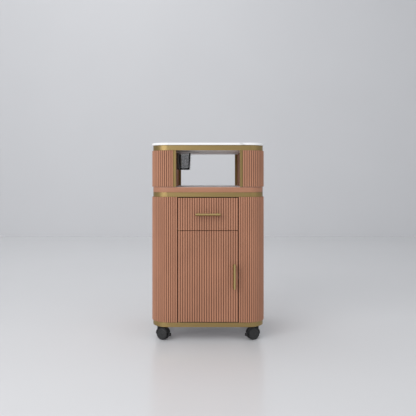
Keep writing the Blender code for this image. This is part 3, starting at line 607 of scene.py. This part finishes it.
def build_flat_fluted():
    for node, facing, flutes in (
        ("drawer_front", -1, FRONT_FLUTES),
        ("door_panel", -1, FRONT_FLUTES),
        ("back_fluted_panel", 1, BACK_FLUTES),
    ):
        low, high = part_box(node)
        face_y = low.y if facing < 0 else high.y
        path = flat_fluted_path(high.x, face_y, facing, flutes)
        section = board_section(high.y - low.y, low.z, high.z, FLUTE_END)
        mesh = mark_grooves(sweep(node, path, section), path, len(section(0)))
        stand_in(f"{node}_skin", mesh, FLUTED, node)


# -------------------------------- bands, boards and worktop
def build_bands():
    plan = round_plan(HALF_X - BAND_INSET, HALF_Y - BAND_INSET, CORNER - BAND_INSET)
    for node in ("base_band", "middle_band", "top_band"):
        low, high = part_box(node)
        section = board_section(BAND_SHEET, low.z, high.z, BAND_EDGE)
        stand_in(f"{node}_skin", sweep(node, plan, section, closed=True), BRASS_ROUND, node)


def build_niche_floor():
    """Pink-lacquered board with a sheet of pale laminate on top."""
    low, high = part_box("niche_floor_board")
    plan = round_plan(high.x, (high.y - low.y) / 2, CORNER - BAND_INSET)
    joint_z = high.z - LAMINATE_SHEET
    layers = eased_layers(low.z, joint_z, NICHE_FLOOR_EDGE)
    stand_in("niche_floor_skin", layered("niche_floor", plan, layers), LACQUER, "niche_floor_board")
    inset = 0.0008
    cover = [
        (inset, joint_z),
        (inset, high.z - LAMINATE_EDGE),
        (inset + LAMINATE_EDGE, high.z),
    ]
    mesh = layered("niche_floor_laminate", plan, cover)
    new_piece("niche_floor_laminate", mesh, LAMINATE, "cabinet")


def build_worktop():
    """The stone slab, a little wider than the flutes."""
    low, high = SLAB_LOW, SLAB_HIGH
    plan = round_plan(high.x, (high.y - low.y) / 2, CORNER + high.x - HALF_X)
    layers = eased_layers(low.z, high.z, SLAB_EDGE)
    stand_in("worktop_skin", layered("worktop", plan, layers), STONE, "worktop_slab")


LAMINATE_BOARDS = (
    "cabinet_top_board", "left_inner_side", "right_inner_side", "drawer_divider", "inner_shelf",
    "shelf_cleat_left", "shelf_cleat_right",
    "drawer_left_side", "drawer_right_side", "drawer_back", "drawer_bottom",
)


def finish_boards():
    """The frame's own solids that are shown with a finish and small rounded edges."""
    for node in LAMINATE_BOARDS:
        soften(node, LAMINATE)
    # The top board gets the paler laminate, painted light.
    soften("top_board", LIT_TOP_BOARD)
    # The base board carries painted gap shade and a painted pale underside.
    soften("base_board", GAP_SHADED)
    for side in ("left", "right"):
        # The niche walls get the lighter pink, painted light.
        soften(f"{side}_niche_wall", LIT_MATT_PINK)
        for place in ("front", "back"):
            soften(f"{side}_{place}_trim", BRASS_UPRIGHT, width=0)
    for node in ("hinge_leaf_top", "hinge_leaf_bottom"):
        soften(node, BRASS_ROUND, 0.0002)
    soften("door_strike", ZINC, 0.0002)
    for side in ("left", "right"):
        for member in ("outer", "middle", "inner"):
            soften(f"slide_{member}_{side}", ZINC, 0.0003)
    soften("door_catch", NYLON, width=0)
    soften("bin_rail", POWDER, 0.0002)


# -------------------------------- pulls
def build_pull(node, upright):
    """A brass bar on two turned posts with small feet.

    Its grip side is cut back for the fingertips. Its front faces get a lighter brass, painted highlight, and its
    other faces a darker brass, painted shade.
    """
    low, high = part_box(node)
    centre = (low + high) / 2
    half = (high.x - low.x if upright else high.z - low.z) / 2
    length = (high.z - low.z if upright else high.x - low.x) / 2
    section = [
        (-half, PULL_BAR),
        (-half, PULL_CUT_DEPTH * PULL_BAR),
        (-PULL_CUT_WIDTH * half, 0.0),
        (half - PULL_EDGE, 0.0),
        (half, PULL_EDGE),
        (half, PULL_BAR),
    ]
    place = Matrix.Translation((centre.x, low.y, centre.z))
    if not upright:
        place = place @ Matrix.Rotation(-math.pi / 2, 4, "Y")
    mesh = thick_outline(f"{node}_bar", section, -length, length, PULL_END_EDGE, place)
    finish = PULL_UPRIGHT if upright else PULL_ACROSS
    shaded_side = GRIP_SHADE_UPRIGHT if upright else GRIP_SHADE_ACROSS
    mesh.materials.append(finish[0])
    mesh.materials.append(shaded_side[0])
    for face in mesh.polygons:
        # Front faces get the lighter painted-highlight brass, the rest the darker painted-shade brass.
        face.material_index = 0 if face.normal.y < -0.9 else 1
    stand_in(f"{node}_bar", mesh, finish, node, sharp=20)
    reach = high.y - (low.y + PULL_BAR) + PULL_POST_GRIP
    for number, side in enumerate((-1, 1), 1):
        spot = Vector((centre.x, high.y, centre.z))
        if upright:
            spot.z += side * PULL_POST_SPACING
        else:
            spot.x += side * PULL_POST_SPACING
        outward = Matrix.Translation(spot) @ Matrix.Rotation(math.pi / 2, 4, "X")
        profile = [
            (0.0058, 0.0),
            (0.0058, 0.0010),
            (0.0050, 0.0018),
            (0.0036, 0.0022),
            (PULL_POST_RADIUS, 0.0040),
            (PULL_POST_RADIUS, reach),
        ]
        post = lathe(f"{node}_post_{number}", profile, outward, steps=32)
        new_piece(f"{node}_post_{number}", post, BRASS_ROUND, BODY_OF[node])


# -------------------------------- screws
SCREW_STEPS = 16
SCREW_HEIGHT = 0.55  # of a head, as a part of its radius
# Rings up the head, each a part of its radius and of its height.
SCREW_DOME = ((1.0, 0.0), (1.0, 0.35), (0.92, 0.70), (0.72, 0.92), (0.42, 1.0))
CROSS_ARM, CROSS_WAIST = 0.40, 0.13  # reach of the recess, as parts of the head's radius
CROSS_RIM, CROSS_FLOOR = 0.98, 0.35  # parts of the head's height
CROSS_TAPER = 0.6


def screw_mesh(radius):
    """A pan head with a cross recess, its axis along +Z and its seat at the origin."""
    height = radius * SCREW_HEIGHT
    shape = bmesh.new()

    def ring_point(step, reach, level):
        angle = 2 * math.pi * step / SCREW_STEPS
        return shape.verts.new((reach * math.cos(angle), reach * math.sin(angle), level))

    rows = []
    for part, rise in SCREW_DOME:
        rows.append([ring_point(step, part * radius, rise * height) for step in range(SCREW_STEPS)])
    # Every fourth point of the recess lies at the end of one of the cross's arms.
    recess = []
    for step in range(SCREW_STEPS):
        reach = radius * (CROSS_ARM if step % 4 == 0 else CROSS_WAIST)
        recess.append(ring_point(step, reach, CROSS_RIM * height))
    floor = [
        shape.verts.new((v.co.x * CROSS_TAPER, v.co.y * CROSS_TAPER, CROSS_FLOOR * height))
        for v in recess
    ]
    rows += [recess, floor]
    for first, second in zip(rows, rows[1:]):
        for i in range(SCREW_STEPS):
            j = (i + 1) % SCREW_STEPS
            shape.faces.new((first[i], first[j], second[j], second[i]))
    shape.faces.new(rows[0])
    shape.faces.new(rows[-1])
    return as_mesh("screw_head", shape)


SCREWS = {radius: screw_mesh(radius) for radius in (SMALL_SCREW, BOARD_SCREW, PULL_SCREW)}


def add_screw(name, place, direction, body, radius=BOARD_SCREW):
    """A screw head seated at a place and facing along a direction."""
    mesh = SCREWS[radius]
    if not mesh.materials:
        mesh.materials.append(ZINC[0])
        mesh.shade_smooth()
        mesh.set_sharp_from_angle(angle=math.radians(40))
    obj = bpy.data.objects.new(name, mesh)
    bpy.context.scene.collection.objects.link(obj)
    turn = Vector(direction).to_track_quat("Z", "Y").to_matrix().to_4x4()
    obj.matrix_world = Matrix.Translation(place) @ turn
    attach(obj, body)


def add_screw_row(name, x, z, start, end, parts, facing):
    """Screws on an upright face of the cabinet, at parts of the way from start to end along Y."""
    for number, part in enumerate(parts, 1):
        y = start + (end - start) * part
        add_screw(f"{name}_{number}", (x, y, z), (facing, 0, 0), "cabinet")


HINGE_SCREW_EDGE = 0.006  # from the leaf's right and back edges
HINGE_SCREW_PIN_SIDE = 0.008  # from the leaf's edge on the side of its pin
STRIKE_SCREW_EDGE = 0.005
STRIKE_SCREW_SINK = 0.0009  # countersunk, so only a sliver stands proud in the gap to the catch
RAIL_SCREW_HEIGHT = 0.012


def build_screws():
    """Heads on the hinge leaves, strike, slides, cleats, bin rail and the backs of the pulls."""
    top_low, top_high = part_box("hinge_leaf_top")
    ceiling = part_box("drawer_divider")[0].z - PIECE_GAP - HINGE_SHEET
    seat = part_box("hinge_leaf_bottom")[0].z + HINGE_SHEET
    y = top_high.y - HINGE_SCREW_EDGE
    spots = (top_high.x - HINGE_SCREW_EDGE, top_low.x + HINGE_SCREW_PIN_SIDE)
    for number, x in enumerate(spots, 1):
        top, bottom = f"hinge_top_screw_{number}", f"hinge_bottom_screw_{number}"
        add_screw(top, (x, y, ceiling), (0, 0, -1), "cabinet", SMALL_SCREW)
        add_screw(bottom, (x, y, seat), (0, 0, 1), "cabinet", SMALL_SCREW)
    low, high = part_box("door_strike")
    y = high.y - STRIKE_SCREW_SINK
    z = (low.z + high.z) / 2
    for number, x in enumerate((low.x + STRIKE_SCREW_EDGE, high.x - STRIKE_SCREW_EDGE), 1):
        add_screw(f"strike_screw_{number}", (x, y, z), (0, 1, 0), "door", SMALL_SCREW)
    for node, board, body in (
        ("drawer_pull", "drawer_front", "drawer"),
        ("door_pull", "door_panel", "door"),
    ):
        low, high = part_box(node)
        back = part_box(board)[1].y
        centre = (low + high) / 2
        for number, side in enumerate((-1, 1), 1):
            x = centre.x + (side * PULL_POST_SPACING if body == "drawer" else 0)
            z = centre.z + (side * PULL_POST_SPACING if body == "door" else 0)
            add_screw(f"{node}_screw_{number}", (x, back, z), (0, 1, 0), body, PULL_SCREW)
    for side_name, side in SIDES:
        low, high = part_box(f"slide_outer_{side_name}")
        web = side * (max(abs(low.x), abs(high.x)) - SLIDE_SHEET)
        height = (low.z + high.z) / 2
        name = f"slide_{side_name}_screw"
        add_screw_row(name, web, height, low.y, high.y, (0.08, 0.5, 0.9), -side)
        low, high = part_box(f"shelf_cleat_{side_name}")
        face = side * min(abs(low.x), abs(high.x))
        height = (low.z + high.z) / 2
        name = f"cleat_{side_name}_screw"
        add_screw_row(name, face, height, low.y, high.y, (0.1, 0.5, 0.9), -side)
    low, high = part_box("bin_rail")
    face, height = low.x + RAIL_SHEET, low.z + RAIL_SCREW_HEIGHT
    add_screw_row("bin_rail_screw", face, height, low.y, high.y, (0.12, 0.5, 0.88), 1)


# -------------------------------- slide ball cages
BALLS = 16
BALL_RADIUS = 0.00125
BALL_PITCH = 0.0085
BALL_INSET = 0.0020  # from the open side of a middle member to the row of balls
CAGE_START = 0.020


def build_ball_cages():
    """Strips of steel balls between the slide members, which travel with the middle member."""
    for side_name, side in SIDES:
        low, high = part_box(f"slide_middle_{side_name}")
        inner_low, inner_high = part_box(f"slide_inner_{side_name}")
        x = side * (min(abs(low.x), abs(high.x)) + BALL_INSET)
        for level, ball_z in (
            ("top", (high.z - SLIDE_SHEET + inner_high.z) / 2),
            ("bottom", (low.z + SLIDE_SHEET + inner_low.z) / 2),
        ):
            shape = bmesh.new()
            for number in range(BALLS):
                y = low.y + CAGE_START + number * BALL_PITCH
                place = Matrix.Translation((x, y, ball_z))
                bmesh.ops.create_uvsphere(
                    shape, u_segments=12, v_segments=8, radius=BALL_RADIUS, matrix=place
                )
            name = f"slide_balls_{side_name}_{level}"
            new_piece(name, as_mesh(name, shape), ZINC, "slide_members")


# -------------------------------- smoked bin
LIP_SHEET, LIP_TOP = 0.0012, 0.0022
LIP_DROP = 0.0175
LIP_END = 0.006  # the lip stops this far from the bin's front and back
BACKING_DROP = 0.0225  # from the bin's rim down to its backing
BACKING_INSET = 0.0005


def build_bin():
    """A see-through box with a tapered foot, a hanging lip and a backing against the rail."""
    low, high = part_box("smoked_bin")
    wall_x = low.x + BIN_HANG

    def ring(height, inset, taper):
        right = high.x - BIN_TAPER_X * taper
        back = high.y - BIN_TAPER_Y * taper
        plan = round_plan(
            (right - wall_x) / 2 - inset,
            (back - low.y) / 2 - inset,
            max(BIN_CORNER - inset, BIN_INNER_CORNER),
            (back + low.y) / 2,
            (right + wall_x) / 2,
            steps=5,
        )
        return [(point.x, point.y, height) for point, _, _ in plan]

    rings = [
        ring(low.z, 0.0009, 1.0),
        ring(low.z + 0.0004, 0.0003, 1.0),
        ring(low.z + BIN_FOOT, 0.0, 0.98),
        ring(high.z - BIN_RIM, 0.0, 0.0),
        ring(high.z, BIN_RIM_EDGE, 0.0),
        ring(high.z, BIN_SHEET - BIN_RIM_EDGE, 0.0),
        ring(high.z - BIN_RIM, BIN_SHEET, 0.0),
        ring(low.z + BIN_SHEET + BIN_FOOT, BIN_SHEET, 0.95),
        ring(low.z + BIN_SHEET, BIN_SHEET + 0.0008, 0.95),
    ]
    stand_in("smoked_bin_shell", loft("smoked_bin", rings), ACRYLIC, "smoked_bin")
    inside = wall_x - 0.0001
    lip = [
        (low.x, high.z - LIP_DROP),
        (low.x + LIP_SHEET, high.z - LIP_DROP),
        (low.x + LIP_SHEET, high.z - LIP_TOP),
        (inside, high.z - LIP_TOP),
        (inside, high.z),
        (low.x, high.z),
    ]
    upright = Matrix.Rotation(math.pi / 2, 4, "X")
    mesh = thick_outline("bin_lip", lip, LIP_END - high.y, -(low.y + LIP_END), 0.0003, upright)
    new_piece("smoked_bin_lip", mesh, ACRYLIC, "bin")
    backing_low = (low.x, low.y + BACKING_INSET, low.z + BACKING_INSET)
    backing_high = (inside, high.y - BIN_TAPER_Y, high.z - BACKING_DROP)
    mesh = rounded_box("bin_backing", backing_low, backing_high, 0.0004, 2)
    new_piece("smoked_bin_backing", mesh, ACRYLIC, "bin")


# -------------------------------- casters
WHEEL_RADIUS = 0.025
WHEEL_WIDTH = 0.009
WHEEL_GAP_HALF = 0.0035
HOOD_INNER = WHEEL_RADIUS + 0.0012
HOOD_OUTER = WHEEL_RADIUS + 0.0028
HOOD_HALF = WHEEL_GAP_HALF + WHEEL_WIDTH - 0.0005
HOOD_STEPS = 44
HOOD_START, HOOD_SWEEP = 10, 176  # degrees, back over the wheels from the pedal's side
HOOD_EDGE = 0.0007
WEB_HALF = 0.0030
SLOT_HALF = 0.0016
SLOT_END = 48  # degrees from the front of the hood
BOSS_RADIUS = 0.0056
BOSS_TOP = 0.0535
AXLE_RADIUS = 0.0030
STEM_RADIUS = 0.0039
PEDAL_PIVOT = (0.035, 0.040)
TONGUE_HALF = 0.0013
RIB_PITCH = 0.0025
TREAD_INNER = 0.0222
TREAD_OUTER_ROUND, TREAD_INNER_ROUND = 0.0018, 0.0015
SEAM_HALF, SEAM_FLOOR = 0.0004, 0.0247
# Half profile of a wheel's disc: radius, and depth below the wheel's outer face.
DISC_PROFILE = (
    (0.0221, 0.0030), (0.0221, 0.0006), (0.0218, 0.0003),  # rim
    (0.0206, 0.0003), (0.0202, 0.0007), (0.0198, 0.0007), (0.0194, 0.0003),  # outer groove
    (0.0100, 0.0001), (0.0095, 0.0004), (0.0090, 0.0004), (0.0085, 0.0001),  # hub groove
    (0.0006, 0.0),
)
# Half profile of the web behind it: radius, and height above the wheel's inner face.
WHEEL_WEB_PROFILE = (
    (0.0221, 0.0020), (0.0060, 0.0020), (0.0056, 0.0002),
    (0.0035, 0.0002), (0.0035, 0.0058), (0.0221, 0.0058),
)
# Half profile of a stem's socket: radius, and height above the base board's underside.
SOCKET_PROFILE = (
    (0.0042, 0.004), (0.0042, -0.0008), (0.0046, -0.0012), (0.0068, -0.0010),
    (0.0072, -0.0006), (0.0072, 0.0), (0.0044, 0.0), (0.0044, 0.004),
)


def caster_place(label):
    """A caster's trail and its matrix: X along the trail, Y along the axle, Z up from the floor."""
    stem = Vector(JOINTS[f"{label}_swivel"]["pos_m"])
    axle = Vector(JOINTS[f"{label}_wheel_fore_spin"]["pos_m"])
    trail = axle - stem
    heading = math.atan2(trail.y, trail.x)
    ground = Matrix.Translation((stem.x, stem.y, 0))
    return math.hypot(trail.x, trail.y), ground @ Matrix.Rotation(heading, 4, "Z")


def build_wheel(node, place, trail, wheel_side):
    """A thin tread ring with rounded shoulders round a wide flat disc with a raised rim."""
    outward = Matrix.Rotation(-wheel_side * math.pi / 2, 4, "X")
    spot = Matrix.Translation((trail, wheel_side * WHEEL_GAP_HALF, WHEEL_RADIUS))
    place = place @ spot @ outward
    width = WHEEL_WIDTH
    outer, inner = TREAD_OUTER_ROUND, TREAD_INNER_ROUND
    tread = [(TREAD_INNER, width - 0.0030), (TREAD_INNER + 0.0002, width - 0.0004)]
    tread += arc((WHEEL_RADIUS - outer, width - outer), outer, 90, 0, 5)
    tread += [(WHEEL_RADIUS, width / 2 + 2 * SEAM_HALF), (SEAM_FLOOR, width / 2 + SEAM_HALF)]
    tread += [(SEAM_FLOOR, width / 2 - SEAM_HALF), (WHEEL_RADIUS, width / 2 - 2 * SEAM_HALF)]
    tread += arc((WHEEL_RADIUS - inner, inner), inner, 0, -90, 4)
    tread += [(TREAD_INNER, 0.0002)]
    mesh = lathe(f"{node}_tread", tread, place, steps=72, closed=True)
    stand_in(f"{node}_tread", mesh, TREAD, node)
    disc = [(radius, width - depth) for radius, depth in DISC_PROFILE]
    mesh = lathe(f"{node}_disc", disc, place, steps=72)
    new_piece(f"{node}_disc", mesh, HUB, BODY_OF[node], sharp=50)
    mesh = lathe(f"{node}_web", WHEEL_WEB_PROFILE, place, closed=True)
    new_piece(f"{node}_web", mesh, NYLON, BODY_OF[node])


def build_hood(name, place, axle, side):
    """Arched cover over both wheels, or one half of it beside the slot of a brake pedal."""
    rings = []
    edge = HOOD_EDGE
    middle = Matrix.Translation((axle[0], 0, axle[1]))
    for step in range(HOOD_STEPS + 1):
        angle = HOOD_START + HOOD_SWEEP * step / HOOD_STEPS
        turn = middle @ Matrix.Rotation(-math.radians(angle), 4, "Y")
        near = -HOOD_HALF if side == 0 else (SLOT_HALF if angle < SLOT_END else 0.0002)
        section = [
            (HOOD_INNER, near),
            (HOOD_INNER, HOOD_HALF),
            (HOOD_OUTER - edge, HOOD_HALF),
            (HOOD_OUTER - 0.3 * edge, HOOD_HALF - 0.3 * edge),
            (HOOD_OUTER, HOOD_HALF - edge),
            (HOOD_OUTER, near + edge),
            (HOOD_OUTER - 0.3 * edge, near + 0.3 * edge),
            (HOOD_OUTER - edge, near),
        ]
        mirror = side or 1
        rings.append([place @ turn @ Vector((reach, mirror * w, 0)) for reach, w in section])
    return loft(name, rings)


def build_housing(node, place, trail, braked):
    """Web, hood over both wheels, swivel boss, stem and axle of one caster."""
    body = BODY_OF[node]
    axle = (trail, WHEEL_RADIUS)
    upright = place @ Matrix.Rotation(math.pi / 2, 4, "X")
    neck = BOSS_RADIUS - 0.0008
    web = arc(axle, 0.008, 200, 340, 14)
    web += arc(axle, HOOD_INNER + 0.0004, 16, 146, 24)
    web += [(neck, 0.050), (neck, BOSS_TOP), (-neck, BOSS_TOP), (-neck, 0.030), (0.004, 0.024)]
    split = ((-WEB_HALF, -SLOT_HALF), (SLOT_HALF, WEB_HALF))
    for number, (start, end) in enumerate(split if braked else ((-WEB_HALF, WEB_HALF),), 1):
        mesh = thick_outline(f"{node}_web_{number}", web, start, end, 0.0004, upright)
        if number == 1:
            stand_in(f"{node}_web_{number}", mesh, NYLON, node)
        else:
            new_piece(f"{node}_web_{number}", mesh, NYLON, body)
    sections = ((-1, "left"), (1, "right")) if braked else ((0, "whole"),)
    for side, side_name in sections:
        mesh = build_hood(f"{node}_hood_{side_name}", place, axle, side)
        new_piece(f"{node}_hood_{side_name}", mesh, NYLON, body)
    boss = [
        (0.0030, 0.0455),
        (BOSS_RADIUS, 0.0458),
        (BOSS_RADIUS, BOSS_TOP),
        (0.0050, 0.0543),
        (0.0042, 0.0545),
        (0.0040, 0.0520),
    ]
    new_piece(f"{node}_boss", lathe(f"{node}_boss", boss, place, 36), NYLON, body)
    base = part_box("base_board")[0].z
    groove = STEM_RADIUS - 0.0007
    stem = [
        (STEM_RADIUS, 0.0500),
        (STEM_RADIUS, base + 0.0085),
        (groove, base + 0.0092),
        (groove, base + 0.0112),
        (STEM_RADIUS, base + 0.0119),
        (STEM_RADIUS, base + 0.0140),
        (STEM_RADIUS - 0.0009, base + 0.0152),
    ]
    new_piece(f"{node}_stem", lathe(f"{node}_stem", stem, place, 32), ZINC, body)
    half, edge = WHEEL_GAP_HALF + 0.0056, 0.0005
    sideways = place @ Matrix.Translation((trail, 0, WHEEL_RADIUS))
    sideways = sideways @ Matrix.Rotation(math.pi / 2, 4, "X")
    rod = [
        (AXLE_RADIUS - edge, -half),
        (AXLE_RADIUS, edge - half),
        (AXLE_RADIUS, half - edge),
        (AXLE_RADIUS - edge, half),
    ]
    new_piece(f"{node}_axle", lathe(f"{node}_axle", rod, sideways, 32), ZINC, body)


def build_pedal(node, place):
    """Tongue between the wheels and a ribbed pad in front of the hood."""
    upright = place @ Matrix.Rotation(math.pi / 2, 4, "X")
    tongue = arc(PEDAL_PIVOT, 0.0034, 50, 225, 16)
    tongue += [(0.0530, 0.0180), (0.0540, 0.0270)]
    mesh = thick_outline(f"{node}_tongue", tongue, -TONGUE_HALF, TONGUE_HALF, 0.0003, upright)
    stand_in(f"{node}_tongue", mesh, NYLON, node)
    pad = rounded_box(f"{node}_pad", (0.0505, -0.008, 0.0165), (0.0555, 0.008, 0.0285), 0.0014, 4)
    pad.transform(place)
    new_piece(f"{node}_pad", pad, NYLON, BODY_OF[node])
    for number in range(4):
        z = 0.0188 + RIB_PITCH * number
        rib_low, rib_high = (0.0550, -0.0062, z - 0.0005), (0.0558, 0.0062, z + 0.0005)
        rib = rounded_box(f"{node}_rib_{number}", rib_low, rib_high, 0.0003, 2)
        rib.transform(place)
        new_piece(f"{node}_rib_{number}", rib, NYLON, BODY_OF[node])


def build_casters():
    """Four twin-wheel casters, the front two with a brake, and the sockets of their stems."""
    socket_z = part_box("base_board")[0].z
    for depth in ("front", "rear"):
        for side in ("left", "right"):
            label = f"{depth}_{side}"
            trail, place = caster_place(label)
            braked = depth == "front"
            build_housing(f"{label}_caster_housing", place, trail, braked)
            for end in ("fore", "aft"):
                spin = JOINTS[f"{label}_wheel_{end}_spin"]["pos_m"]
                low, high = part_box(f"{label}_wheel_{end}")
                centre = (low + high) / 2
                local = place.inverted() @ Vector((centre.x, centre.y, spin[2]))
                wheel_side = math.copysign(1, local.y)
                build_wheel(f"{label}_wheel_{end}", place, trail, wheel_side)
            if braked:
                build_pedal(f"{label}_brake_pedal", place)
            collar = [(radius, socket_z + height) for radius, height in SOCKET_PROFILE]
            name = f"{label}_stem_socket"
            mesh = lathe(name, collar, place, steps=40, closed=True)
            new_piece(name, mesh, ZINC, "cabinet")


# -------------------------------- stage, light and camera
# Colour, roughness and specular level.
FLOOR_LOOK = ((0.715, 0.715, 0.725), 0.22, 0.34)
WALL_LOOK = ((0.75, 0.75, 0.765), 0.8, 0.1)


def stage_material(name, colour, roughness, specular):
    """Paint that is barely clouded."""
    material, tree, shader = start_material(name, colour, roughness)
    shader.inputs["Specular IOR Level"].default_value = specular
    cloud = stretched_noise(tree, (1, 1, 1), 0.8, detail=2.0)
    shade = ramp(tree, cloud, tinted(colour, 0.985), tinted(colour, 1.01), 0.3, 0.7)
    tree.links.new(shade, shader.inputs["Base Color"])
    return material


def build_stage():
    """A pale floor and a wall well behind the trolley."""
    sheets = (
        ("stage_floor", (14, 14), (0, -1.2, 0), (0, 0, 0), FLOOR_LOOK),
        ("stage_wall", (14, 7), (0, 3.75, 3.5), (math.pi / 2, 0, 0), WALL_LOOK),
    )
    for name, (width, depth), place, turn, look in sheets:
        mesh = bpy.data.meshes.new(name)
        shape = bmesh.new()
        spread = Matrix.Diagonal((width, depth, 1, 1))
        bmesh.ops.create_grid(shape, x_segments=2, y_segments=2, size=0.5, matrix=spread)
        shape.to_mesh(mesh)
        shape.free()
        mesh.materials.append(stage_material(f"{name}_paint", *look))
        obj = bpy.data.objects.new(name, mesh)
        obj.location = place
        obj.rotation_euler = turn
        bpy.context.scene.collection.objects.link(obj)


def area_light(name, place, target, size, power):
    """A white rectangular light aimed at a point."""
    data = bpy.data.lights.new(name, "AREA")
    data.shape = "RECTANGLE"
    data.size, data.size_y = size
    data.energy = power
    light = bpy.data.objects.new(name, data)
    light.location = place
    aim = Vector(target) - Vector(place)
    light.rotation_euler = aim.to_track_quat("-Z", "Y").to_euler()
    bpy.context.scene.collection.objects.link(light)


def build_lights():
    """A soft key from the front left, weak fills, and a faint bluish surround."""
    world = bpy.data.worlds.new("studio")
    world.use_nodes = True
    background = world.node_tree.nodes["Background"]
    background.inputs["Color"].default_value = (0.93, 0.96, 1.0, 1.0)
    background.inputs["Strength"].default_value = 0.52
    bpy.context.scene.world = world
    middle = (0, 0, 0.45)
    area_light("key_left", (-2.3, -3.3, 2.3), middle, (3.2, 3.2), 102.5)
    area_light("fill_right", (3.4, -3.0, 1.6), middle, (3.2, 3.2), 11)
    area_light("top_soft", (-1.2, 1.2, 4.2), (-0.9, 1.0, 0), (4.0, 4.0), 52)
    area_light("floor_front", (0.8, -1.0, 1.7), (0.8, -1.0, 0), (1.6, 1.2), 3)


CAMERA_DISTANCE = 2.21  # in front of the flutes
CAMERA_HEIGHT = 0.6615


def build_camera():
    """Level camera. Its lens is shifted down, so that uprights stay parallel."""
    data = bpy.data.cameras.new("camera")
    data.sensor_width = 36.0
    data.lens = 47.7
    data.shift_y = -0.0738
    camera = bpy.data.objects.new("camera", data)
    camera.location = (0, FRONT_Y - CAMERA_DISTANCE, CAMERA_HEIGHT)
    camera.rotation_euler = (math.pi / 2, 0, 0)
    bpy.context.scene.collection.objects.link(camera)
    bpy.context.scene.camera = camera


bpy.context.scene.view_settings.view_transform = "Standard"
build_camera()
build_fluted_shells()
build_flat_fluted()
build_bands()
build_niche_floor()
build_worktop()
finish_boards()
build_pull("drawer_pull", upright=False)
build_pull("door_pull", upright=True)
build_screws()
build_ball_cages()
build_bin()
build_casters()
build_stage()
build_lights()
